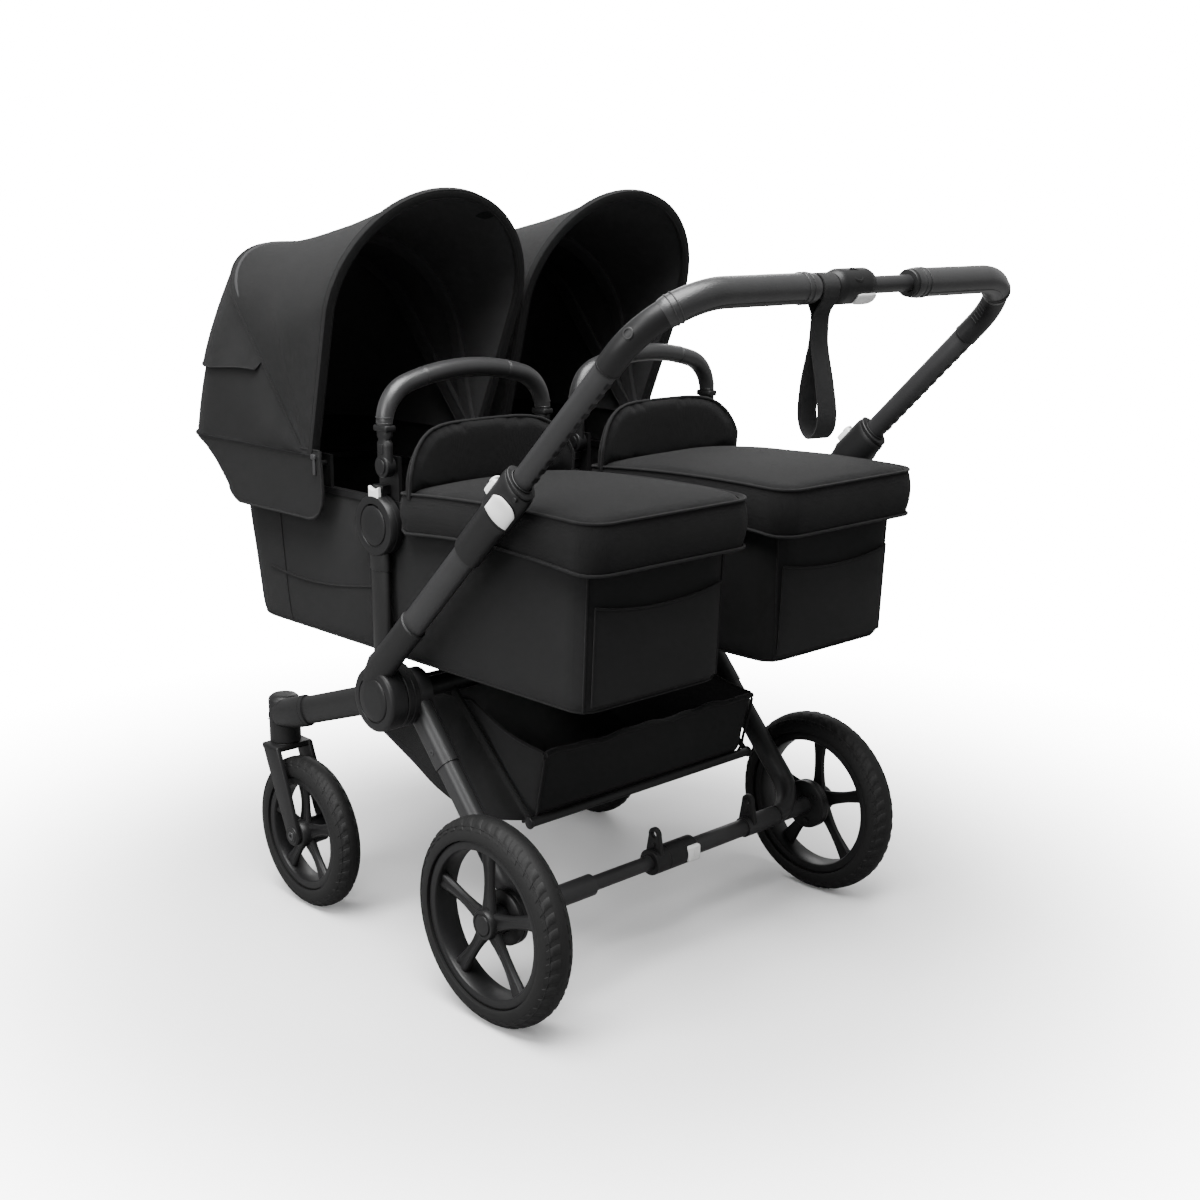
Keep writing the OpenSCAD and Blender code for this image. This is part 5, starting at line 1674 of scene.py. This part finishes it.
# Leather grips with sewn end rings and a seam along the underside
def bar_point(x, off=0.0, up=0.0):
    return on_tube(0.815, off, x) + UP_TUBE * up


def leather_grip(name, end_x, flare):
    path = [on_bend(math.radians(42 + 48 * k / 26)) for k in range(27)]
    count = 34
    path += [bar_point(HANDLE_X - BEND + (end_x - HANDLE_X + BEND) * k / count) for k in range(1,
            count + 1)]
    total = len(path) - 1

    def size(i, p):
        ends = min(i, total - i)
        puff = 0.00035 * noise.noise(p * 30)
        tight = {0: 0.0012, 1: 0.0003}.get(ends, 0.0)
        wide = flare if i >= total - 2 else 0.0
        return 0.0188 - tight + puff + wide

    sleeve_piece = bent_tube(name, path, size)
    extras = []
    for i in (3, 5, total - 3, total - 5):
        p, q = path[i], path[i + 1]
        along = (q - p).normalized()
        side = along.cross(OFF_TUBE).normalized()
        ring = [p + side * 0.0192 * math.cos(TAU * k / 44) + OFF_TUBE * 0.0192 * math.sin(TAU * k / 44) for k in range(44)]
        extras.append(pipe("grip_ring", ring, 0.0008, closed=True, resolution=2))
    seam_line = [p - OFF_TUBE * 0.0190 for p in path[6:-6]]
    extras.append(pipe("grip_seam", seam_line, 0.0007, resolution=2))
    return join(name, [sleeve_piece] + extras)


near_grip = leather_grip("near_grip_leather", 0.100, 0.0)
place(near_grip, "handlebar", "black_leather", GRIP_LEATHER, "handle_grips")
far_source = leather_grip("far_grip_source", 0.097, 0.0006)
far_grip = mirrored(far_source, "far_grip_leather")
bpy.data.objects.remove(far_source)
place(far_grip, "handlebar", "black_leather", GRIP_LEATHER)

# Telescopic crossbar and its slanted clamp housing
axis_x = Vector((1, 0, 0))
thick = drum("bar_thick", bar_point(0.038), axis_x, 0.066, 0.015, 0.0012, 48)
thin = drum("bar_thin", bar_point(-0.100), axis_x, 0.142, 0.011, 0.0008, 48)
thin_ring = lathe("bar_thin_ring", [(0, 0.0105), (0, 0.0165), (0.0012, 0.0178), (0.006, 0.0178), (0.0072,
        0.0165), (0.0072, 0.0105), (0, 0.0105)],
                  bar_point(-0.0985), axis_x, 48)
place(join("handlebar_crossbar", [thick, thin]), "handlebar", "satin_tube", TUBE_PAINT, "handlebar_clamp")
housing_rows = []
for k in range(25):
    t = k / 24
    x = -0.010 + 0.074 * t
    grow = 0.0150 + 0.0072 * min(1, t * 5.0) ** 0.7 - 0.003 * max(0, t - 0.88) / 0.12
    grow -= 0.0022 * (1 if k in (0, 24) else 0)
    ring = []
    for n in range(44):
        turn = TAU * n / 44
        bulge = 1 + 0.03 * math.cos(turn * 2)
        lean = -0.004 * math.sin(turn) * (1 - t)
        ring.append(bar_point(x + lean, grow * bulge * math.sin(turn), grow * bulge * math.cos(turn)))
    housing_rows.append(ring)
housing = outward(loft("clamp_housing", housing_rows, closed=True, caps=True))
boss = lathe("clamp_boss", [(-0.004, 0.0), (-0.004, 0.0116), (0.0002, 0.0112), (0.0010, 0.0102), (0.0010,
        0.0092), (-0.0012, 0.0086), (-0.0012, 0.0)],
             bar_point(0.034, 0.0, 0.0212), UP_TUBE, 48)
knob = lathe("clamp_knob", [(-0.002, 0.0), (-0.002, 0.0078), (0.0006, 0.0074), (0.0012, 0.0060), (0.0012,
        0.0034), (-0.0010, 0.0030), (-0.0010, 0.0)],
             bar_point(0.034, 0.0, 0.0206), UP_TUBE, 40)
place(join("clamp_housing", [housing, boss, knob, thin_ring]), "handlebar", "black_plastic", BLACK_PLASTIC)
lever_rows = []
for k in range(13):
    t = k / 12
    x = -0.0015 + 0.035 * t
    thick_half = 0.0038 - 0.0010 * abs(2 * t - 1) ** 4
    wide_half = 0.0094 - 0.002 * abs(2 * t - 1) ** 6
    centre_off = -0.0212 - 0.0006 * math.sin(math.pi * t)
    lever_rows.append([bar_point(x, centre_off + thick_half * math.sin(TAU * n / 24),
            wide_half * math.cos(TAU * n / 24)) for n in range(24)])
squeeze = outward(loft("squeeze_lever", lever_rows, closed=True, caps=True))
place(squeeze, "clamp_lever", "white_plastic", WHITE_PLASTIC, "clamp_lever")

# Wrist strap: one band of webbing that hangs round the bar, its ends sewn together
bar_at = bar_point(0.081)
strap_line = []
for k in range(15):
    turn = math.radians(210 - 240 * k / 14)
    strap_line.append(bar_at + Vector((0, math.cos(turn) * 0.0172, math.sin(turn) * 0.0172)))
STRAP_SPREAD = ((0.000, 0.0172), (0.012, 0.0150), (0.026, 0.0050), (0.036, 0.0018), (0.062, 0.0016), (0.078,
        0.0040),
                (0.110, 0.0115), (0.140, 0.0160), (0.158, 0.0165), (0.172, 0.0130), (0.181, 0.0060))


def strap_side(sign):
    return [bar_at + Vector((0, sign * gap * (1.0 if sign > 0 else 0.9), -drop)) for drop,
            gap in STRAP_SPREAD]


right_side = strap_side(1)[1:]
bottom = [bar_at + Vector((0, 0.0005, -0.1838))]
left_side = strap_side(-1)[:0:-1]
loop_path = smooth_path(strap_line + right_side + bottom + left_side, 110, closed=True)[:-1]
strap_rows = []
for i, p in enumerate(loop_path):
    low_share = min(1.0, max(0.0, (bar_at.z - 0.02 - p.z) / 0.16))
    twist = 0.35 * low_share
    shift = 0.004 * math.sin(low_share * 3.0)
    strap_rows.append([p + Vector((math.cos(twist) * w + shift, -math.sin(twist) * w * 0.8, 0))
                       for w in (-0.0145, -0.0125, -0.006, 0, 0.006, 0.0125, 0.0145)])
strap_rows.append([q.copy() for q in strap_rows[0]])
strap = loft("wrist_strap_band", strap_rows)
outward(strap)
modify(strap, "SOLIDIFY", thickness=0.0018, offset=0)
place(strap, "handlebar", "webbing", STRAP_WEBBING, "wrist_strap", angle=45)


# ---- Chassis ----
POST_Y = at(-0.027)
POST_X = 0.3278
ARM_FOOT = Vector((0.321, HINGE_Y, HINGE_Z))
ARM_HEAD = Vector((0.321, SWIVEL.y, 0.30725))
ARM_ALONG = (ARM_HEAD - ARM_FOOT).normalized()
ARM_UP = ARM_ALONG.cross(Vector((1, 0, 0))).normalized()
if ARM_UP.z < 0:
    ARM_UP = -ARM_UP


def arm_tube(name, stations, sides=40):
    """An oval tube along the front arm; stations are (distance, half width, half depth, lift)."""
    rows = []
    for s, a, b, lift in stations:
        c = ARM_FOOT + ARM_ALONG * s + ARM_UP * lift
        rows.append([c + Vector((a * math.cos(TAU * k / sides), 0,
                0)) + ARM_UP * (b * math.sin(TAU * k / sides))
                     for k in range(sides)])
    return outward(loft(name, rows, closed=True, caps=True))


arm = arm_tube("arm_tube", [(0.030, 0.0125, 0.0215, 0), (0.0305, 0.013, 0.022, 0), (0.180, 0.013, 0.022, 0),
        (0.325, 0.013, 0.022, 0)])
arm_cuff = arm_tube("arm_cuff", [(0.044, 0.0130, 0.0222, 0), (0.0444, 0.0148, 0.0242, 0), (0.060, 0.0150,
        0.0246, 0), (0.0745, 0.0146, 0.0240, 0), (0.0752, 0.0130, 0.0222, 0)])
place(both_sides(join("front_arm_tubes", [arm, arm_cuff])), "chassis", "satin_tube", ARM_PAINT,
        "front_arms")
arm_sleeve = arm_tube("arm_sleeve", [(0.2545, 0.0135, 0.0226, 0), (0.2550, 0.0154, 0.0244, 0), (0.2570,
        0.0160, 0.0250, 0),
                                     (0.2950, 0.0160, 0.0250, 0.0), (0.3180, 0.0162, 0.0240, 0.001),
                                         (0.3440, 0.0150, 0.0210, 0.002)])
sleeve_line = arm_tube("arm_sleeve_line", [(0.2628, 0.0150, 0.0240, 0), (0.2630, 0.0164, 0.0254, 0),
        (0.2642, 0.0164, 0.0254, 0), (0.2644, 0.0150, 0.0240, 0)])

# Main hinge: a fixed disc with a groove, a rotating hub with a bright rim and a recessed cap
fixed = lathe("left_fixed_disc", [(0.0, 0.015), (0.0, 0.0464), (0.0014, 0.0478), (0.0100, 0.0480), (0.0106,
        0.0472), (0.0118, 0.0472),
                                  (0.0124, 0.0480), (0.0208, 0.0480), (0.0220, 0.0468), (0.0220, 0.015),
                                      (0.0, 0.015)],
              (0.3164, HINGE_Y, HINGE_Z), (1, 0, 0), 96)
fixed_pin = drum("fixed_pin", (0.3164, HINGE_Y, HINGE_Z), (1, 0, 0), 0.0495, 0.0098, 0.0006, 40)
place(both_sides(join("hinge_fixed_discs", [fixed, fixed_pin])), "chassis", "black_plastic", BLACK_PLASTIC,
        "hinge_housings", angle=40)
hub = lathe("left_hub", [(0.0, 0.0105), (0.0, 0.0462), (0.0016, 0.0480), (0.0230, 0.0480), (0.0262, 0.0472),
        (0.0280, 0.0452), (0.0290, 0.0424),
                         (0.0290, 0.0344), (0.0272, 0.0334), (0.0272, 0.0326), (0.0292, 0.0318), (0.0298,
                             0.0308), (0.0302, 0.0200), (0.0302, 0.0),
                         (0.0262, 0.0), (0.0262, 0.0105), (0.0, 0.0105)],
            (0.3390, HINGE_Y, HINGE_Z), (1, 0, 0), 96)
socket_sleeve = oval_tube("hub_socket", [(0.010, 0.0150, 0.0200), (0.035, 0.0158, 0.0222), (0.120, 0.0160,
        0.0224), (0.1470, 0.0160, 0.0224),
                                         (0.1492, 0.0158, 0.0220), (0.1496, 0.0150, 0.0210), (0.1496,
                                             0.0141, 0.0201)])
socket_lip = oval_tube("hub_socket_lip", [(0.1418, 0.0155, 0.0218), (0.1422, 0.0165, 0.0230), (0.1480,
        0.0165, 0.0230), (0.1488, 0.0155, 0.0218)])
shoulder = oval_tube("hub_shoulder", [(0.0, 0.0135, 0.0150), (0.030, 0.0146, 0.0260), (0.052, 0.0152,
        0.0236), (0.085, 0.0158, 0.0224)])
place(both_sides(join("handle_hub_shells", [hub, socket_sleeve, socket_lip, shoulder])), "handle_base",
        "black_plastic", BLACK_PLASTIC, "handle_hubs", angle=40)

# Clamps on the cot posts, with a ringed cap, and their white buttons
clamp_parts = []
for x, out_sign in ((POST_X, 1), (0.0342, -1)):
    clamp_parts.append(lathe("clamp_shell", [(-0.0108, 0.0), (-0.0108, 0.0418), (-0.0090, 0.0438), (-0.0006,
            0.0440), (0.0, 0.0432), (0.0006, 0.0440),
                                             (0.0080, 0.0438), (0.0104, 0.0420), (0.0108, 0.0400), (0.0108,
                                                 0.0314), (0.0094, 0.0306), (0.0094, 0.0290),
                                             (0.0110, 0.0284), (0.0114, 0.0276), (0.0117, 0.0180), (0.0117,
                                                 0.0)],
                             (x, POST_Y, 0.664), (out_sign, 0, 0), 96))
barrel = drum("clamp_barrel", (-0.0234, POST_Y, 0.664), (1, 0, 0), 0.0468, 0.0378, 0.002, 72)
for shell_piece, key_x in zip(clamp_parts, (0.3338, 0.0282)):
    cutter = block("key_slot", (key_x - 0.0044, POST_Y - 0.0124, 0.6895), (key_x + 0.0044, POST_Y + 0.0124,
            0.7300), 0.0004)
    modify(shell_piece, "BOOLEAN", operation="DIFFERENCE", object=cutter, solver="EXACT")
    bpy.data.objects.remove(cutter)
clamp_piece = both_sides(join("cot_clamp_shells", clamp_parts))
clamp_piece = join("cot_clamp_shells", [clamp_piece, barrel])
place(clamp_piece, "chassis", "black_plastic", BLACK_PLASTIC, "cot_clamps", angle=40)


def clamp_key(name, x):
    """A white button with bevelled shoulders and a dished top."""
    rows = []
    for k in range(17):
        y = -0.0118 + 0.0236 * k / 16
        dip = 0.0196 + 0.0042 * (abs(y) / 0.0118) ** 2
        shoulder_cut = 0.0018 * (abs(y) / 0.0118) ** 10
        rows.append([Vector((x + a * (0.0039 - shoulder_cut), POST_Y + y, 0.6962 + b)) for a, b in
                     ((-1, 0), (1, 0), (1, dip - 0.0014), (0.72, dip), (-0.72, dip), (-1, dip - 0.0014))])
    return outward(loft(name, rows, closed=True, caps=True))


place_pair(clamp_key("left_outer_key", 0.3338), "left_outer_button", "white_plastic", WHITE_PLASTIC,
        "left_outer_button", angle=30)
place_pair(clamp_key("left_inner_key", 0.0282), "left_inner_button", "white_plastic", WHITE_PLASTIC,
        "left_inner_button", angle=30)

# Cot posts: oval drawn tube with a collar near the top
post_rows = []
for z, a, b in ((0.418, 0.0078, 0.0195), (0.4186, 0.008, 0.020), (0.630, 0.008, 0.020), (0.656, 0.008,
        0.020)):
    post_rows.append([Vector((POST_X + a * math.cos(TAU * k / 40), POST_Y + b * math.sin(TAU * k / 40),
            z)) for k in range(40)])
post = outward(loft("outer_post", post_rows, closed=True, caps=True))
sleeve_rows = []
for z, grow in ((0.598, 0.0), (0.5988, 0.0012), (0.600, 0.0016), (0.625, 0.0016)):
    sleeve_rows.append([Vector((POST_X + (0.008 + grow) * math.cos(TAU * k / 40),
            POST_Y + (0.020 + grow) * math.sin(TAU * k / 40), z)) for k in range(40)])
post_sleeve = outward(loft("post_sleeve", sleeve_rows, closed=True, caps=True))
posts = both_sides(join("outer_posts", [post, post_sleeve]))
centre_rows = [[Vector((a * math.cos(TAU * k / 44), POST_Y + b * math.sin(TAU * k / 44),
        z)) for k in range(44)]
               for z, a, b in ((0.432, 0.0138, 0.0198), (0.4326, 0.014, 0.020), (0.6300, 0.014, 0.020),
                       (0.6301, 0.0138, 0.0198))]
centre = outward(loft("centre_post", centre_rows, closed=True, caps=True))
foot_block = block("post_foot", (-0.022, at(-0.047), 0.399), (0.022, at(0.016), 0.440), 0.004)
place(join("cot_post_tubes", [posts, centre, foot_block]), "chassis", "satin_tube", ARM_PAINT, "cot_posts",
        angle=35)
cross = drum("cross_bar", (-0.3164, HINGE_Y, HINGE_Z), (1, 0, 0), 0.6328, 0.015, 0.0008, 48)
place(cross, "chassis", "satin_tube", ARM_PAINT, "cross_tube")

# Swivel housings: a domed, chamfered cap over a ringed barrel
cap_profile = [(0.0, 0.0078), (0.0, 0.0238), (0.0012, 0.0250), (0.0330, 0.0250), (0.0336, 0.0243), (0.0350,
        0.0243), (0.0356, 0.0250),
               (0.0690, 0.0250), (0.0730, 0.0236), (0.0756, 0.0205), (0.0768, 0.0192), (0.0772, 0.0120),
                   (0.0775, 0.0), (0.0545, 0.0), (0.0545, 0.0078), (0.0, 0.0078)]
barrel = lathe("swivel_barrel", cap_profile, (SWIVEL.x, SWIVEL.y, 0.2645), (0, 0, 1), 80)
side_boss = lathe("swivel_boss", [(-0.006, 0.0), (-0.006, 0.0098), (0.0008, 0.0094), (0.0014, 0.0084),
        (0.0014, 0.0066), (0.0004, 0.0060), (0.0004, 0.0)],
                  (SWIVEL.x + 0.0236, SWIVEL.y, 0.309), (1, 0, 0), 48)
place(both_sides(join("swivel_shells", [barrel, side_boss, arm_sleeve, sleeve_line])), "chassis",
        "black_plastic",
      BLACK_PLASTIC, "swivel_housings", angle=40)

# Lock tabs on the swivels
tab_rows = []
for k in range(9):
    t = k / 8
    y = SWIVEL.y - 0.0165 - 0.0245 * t
    z = 0.2885 + 0.0012 * math.sin(math.pi * t)
    half = 0.0088 - 0.0016 * t ** 3
    tab_rows.append([Vector((SWIVEL.x + half * math.cos(TAU * n / 28), y,
            z + 0.0033 * (1 - 0.35 * t) * math.sin(TAU * n / 28) + 0.0026)) for n in range(28)])
tab = outward(loft("swivel_tab", tab_rows, closed=True, caps=True))
plate = block("swivel_plate", (SWIVEL.x - 0.0104, SWIVEL.y - 0.0246, 0.2832), (SWIVEL.x + 0.0104,
        SWIVEL.y - 0.0184, 0.3080), 0.0016)
place_pair(join("left_swivel_tab", [tab, plate]), "left_swivel_lock", "white_plastic", WHITE_PLASTIC,
        "left_swivel_lock", angle=35)

# Brake drums: finned cover with screws
drum_profile = [(0.0, 0.0142), (0.0, 0.0372), (0.0014, 0.0396), (0.0080, 0.0400), (0.0090, 0.0392), (0.0100,
        0.0400), (0.0148, 0.0398), (0.0166, 0.0376),
                (0.0170, 0.0250), (0.0170, 0.0142), (0.0, 0.0142)]
brake = lathe("left_brake_drum", drum_profile, (0.3140, REAR_AXLE.y, REAR_AXLE.z), (1, 0, 0), 80)
knobs = []
for n in range(3):
    turn = math.radians(40 + 120 * n)
    knobs.append(drum("brake_knob", (0.3142, REAR_AXLE.y + 0.0285 * math.cos(turn),
            REAR_AXLE.z + 0.0285 * math.sin(turn)), (-1, 0, 0), 0.0028, 0.0052, 0.0008, 24))
place(both_sides(join("brake_covers", [brake] + knobs)), "rear_frame", "black_plastic", BLACK_PLASTIC,
        "brake_drums", angle=40)

# Axle: telescopic tubes, connector with holed lugs, and a white latch
thick_axle = drum("axle_thick", (-0.166, REAR_AXLE.y, REAR_AXLE.z), (1, 0, 0), 0.125, 0.0135, 0.0008, 48)
thin_axle = drum("axle_thin", (0.040, REAR_AXLE.y, REAR_AXLE.z), (1, 0, 0), 0.127, 0.011, 0.0008, 48)
place(join("axle_bars", [thick_axle, thin_axle]), "rear_frame", "satin_tube", TUBE_PAINT, "axle_tubes")


def lug(x):
    """Plate with a round eye, standing on the axle."""
    outline_points, hole = [], []
    for k in range(25):
        turn = math.radians(-10 + 200 * k / 24)
        outline_points.append((0.0108 * math.cos(turn), 0.042 + 0.0108 * math.sin(turn)))
    outline_points += [(-0.0165, 0.010), (-0.014, 0.0), (0.014, 0.0), (0.0165, 0.010)]
    n = len(outline_points)
    for k in range(n):
        p = Vector(outline_points[k]) - Vector((0, 0.042))
        hole.append((0.005 * p.x / p.length, 0.042 + 0.005 * p.y / p.length))
    points = []
    for dx in (0.0004, 0.0076):
        for ring in (outline_points, hole):
            points += [Vector((x + dx, REAR_AXLE.y + a, REAR_AXLE.z + b)) for a, b in ring]
    faces = []
    for k in range(n):
        j = (k + 1) % n
        faces += [(k, j, n + j, n + k), (2 * n + k, 3 * n + k, 3 * n + j, 2 * n + j),
                  (k, 2 * n + k, 2 * n + j, j), (n + k, n + j, 3 * n + j, 3 * n + k)]
    return bevel(outward(mesh_piece("axle_lug", points, faces)), 0.0009, 2, 50)


connector = lathe("axle_joint", [(0.0, 0.0112), (0.0, 0.0188), (0.0014, 0.0200), (0.0260, 0.0200), (0.0266,
        0.0194), (0.0280, 0.0194), (0.0286, 0.0200),
                                 (0.0600, 0.0200), (0.0606, 0.0194), (0.0620, 0.0194), (0.0626, 0.0200),
                                     (0.0886, 0.0200), (0.0900, 0.0188), (0.0900, 0.0112), (0.0, 0.0112)],
                  (-0.045, REAR_AXLE.y, REAR_AXLE.z), (1, 0, 0), 64)
lug_screws = [drum("lug_screw", (x, REAR_AXLE.y, REAR_AXLE.z + 0.0255), (1, 0, 0), 0.0022, 0.0036, 0.0005,
        24) for x in (0.0354, -0.1730)]
place(join("axle_connector_shell", [connector, lug(0.028), lug(-0.180)] + lug_screws), "rear_frame",
        "black_plastic", BLACK_PLASTIC, "axle_connector", angle=40)
latch = block("latch_key", (-0.0448, REAR_AXLE.y + 0.0088, 0.1372), (-0.0192, REAR_AXLE.y + 0.0228, 0.1618),
        0.0036, 4)
latch_ribs = [block("latch_rib", (-0.0415 + 0.0052 * n, REAR_AXLE.y + 0.0222, 0.1420),
        (-0.0395 + 0.0052 * n, REAR_AXLE.y + 0.0236, 0.1570), 0.0005) for n in range(4)]
place(join("axle_latch_key", [latch] + latch_ribs), "axle_latch", "white_plastic", WHITE_PLASTIC,
        "axle_latch")

# Rivets where the leg sleeves end
LEG_FOOT = Vector((0.299, HINGE_Y, HINGE_Z))
LEG_ALONG = (REAR_AXLE - Vector((REAR_AXLE.x, HINGE_Y, HINGE_Z))).normalized()
rivet = lathe("leg_rivets", [(-0.003, 0.0), (-0.003, 0.0048), (0.0006, 0.0046), (0.0010, 0.0036), (0.0010,
        0.0020), (-0.0002, 0.0016), (-0.0002, 0.0)],
              LEG_FOOT + LEG_ALONG * 0.100 + Vector((0.0160, 0, 0)), (1, 0, 0), 32)
place(both_sides(rivet), "rear_frame", "black_plastic", BOLT_STEEL)


# ---- Stage ----
deselect()
bpy.ops.mesh.primitive_plane_add(size=40, location=(0, 0, 0))
floor = added("studio_floor")
floor_finish = Finish("studio_paper", (0.86, 0.86, 0.86), 0.9, Specular_IOR_Level=0.05,
                      Emission_Color=(1, 1, 1, 1))
floor_finish.tones(floor_finish.noise(3, 2), (0.855, 0.855, 0.86), (0.865, 0.865, 0.865))
# Painted light: the floor glows, seen by the camera only, from nothing within 0.55 m of the middle up to strength 16.5
# beyond 2 m, so the far floor is as white as the backdrop
reach = floor_finish.nodes.new("ShaderNodeVectorMath")
reach.operation = "LENGTH"
floor_finish.links.new(floor_finish.place, reach.inputs[0])
painted_glow_ramp = floor_finish.nodes.new("ShaderNodeMapRange")
painted_glow_ramp.interpolation_type = "SMOOTHSTEP"
painted_glow_ramp.inputs["From Min"].default_value = 0.55
painted_glow_ramp.inputs["From Max"].default_value = 2.0
painted_glow_ramp.inputs["To Max"].default_value = 16.5
floor_finish.links.new(reach.outputs["Value"], painted_glow_ramp.inputs["Value"])
floor_finish.links.new(painted_glow_ramp.outputs[0], floor_finish.shader.inputs["Emission Strength"])
# Painted shade: to every ray but the camera's the floor is a dim grey, so it throws little bounce light and shows dark
# in reflections on the pram's lower parts
painted_shade_paper = floor_finish.nodes.new("ShaderNodeBsdfDiffuse")
painted_shade_paper.inputs["Color"].default_value = (0.22, 0.22, 0.22, 1)
by_ray = floor_finish.nodes.new("ShaderNodeMixShader")
floor_finish.links.new(floor_finish.nodes.new("ShaderNodeLightPath").outputs["Is Camera Ray"],
        by_ray.inputs["Fac"])
floor_finish.links.new(painted_shade_paper.outputs[0], by_ray.inputs[1])
floor_finish.links.new(floor_finish.shader.outputs[0], by_ray.inputs[2])
floor_finish.links.new(by_ray.outputs[0], floor_finish.nodes["Material Output"].inputs["Surface"])
floor.data.materials.append(floor_finish.material)

world = bpy.data.worlds.new("studio")
world.use_nodes = True
glow = world.node_tree.nodes["Background"]
glow.inputs["Color"].default_value = (1, 1, 1, 1)
glow.inputs["Strength"].default_value = 0.60
backdrop = world.node_tree.nodes.new("ShaderNodeBackground")
backdrop.inputs["Color"].default_value = (1, 1, 1, 1)
backdrop.inputs["Strength"].default_value = 16.5
seen = world.node_tree.nodes.new("ShaderNodeLightPath").outputs["Is Camera Ray"]
blend = world.node_tree.nodes.new("ShaderNodeMixShader")
world.node_tree.links.new(seen, blend.inputs["Fac"])
world.node_tree.links.new(glow.outputs[0], blend.inputs[1])
world.node_tree.links.new(backdrop.outputs[0], blend.inputs[2])
world.node_tree.links.new(blend.outputs[0], world.node_tree.nodes["World Output"].inputs["Surface"])
bpy.context.scene.world = world


def soft_light(name, place_at, aim, size, power):
    light = bpy.data.lights.new(name, "AREA")
    light.shape = "RECTANGLE"
    light.size, light.size_y = size
    light.energy = power
    lamp = bpy.data.objects.new(name, light)
    lamp.location = place_at
    lamp.rotation_euler = (Vector(aim) - Vector(place_at)).to_track_quat("-Z", "Y").to_euler()
    bpy.context.scene.collection.objects.link(lamp)


soft_light("key_light", (0.9, 0.5, 3.6), (0, 0, 0.4), (2.8, 2.8), 470)
soft_light("side_light", (3.4, -0.2, 1.7), (0, 0, 0.6), (1.6, 2.2), 110)
soft_light("back_light", (-2.6, -2.4, 2.2), (0, 0, 0.7), (2.2, 1.6), 45)

camera = bpy.data.cameras.new("camera")
camera.lens = 48.84
camera.sensor_width = 36
camera_object = bpy.data.objects.new("camera", camera)
camera_at = Vector((1.6536, 1.8420, 1.1027))
camera_aim = Vector((-0.006, 0.0692, 0.517))
camera_object.location = camera_at
camera_object.rotation_euler = (camera_aim - camera_at).to_track_quat("-Z", "Y").to_euler()
bpy.context.scene.collection.objects.link(camera_object)
bpy.context.scene.camera = camera_object

bpy.context.view_layer.update()
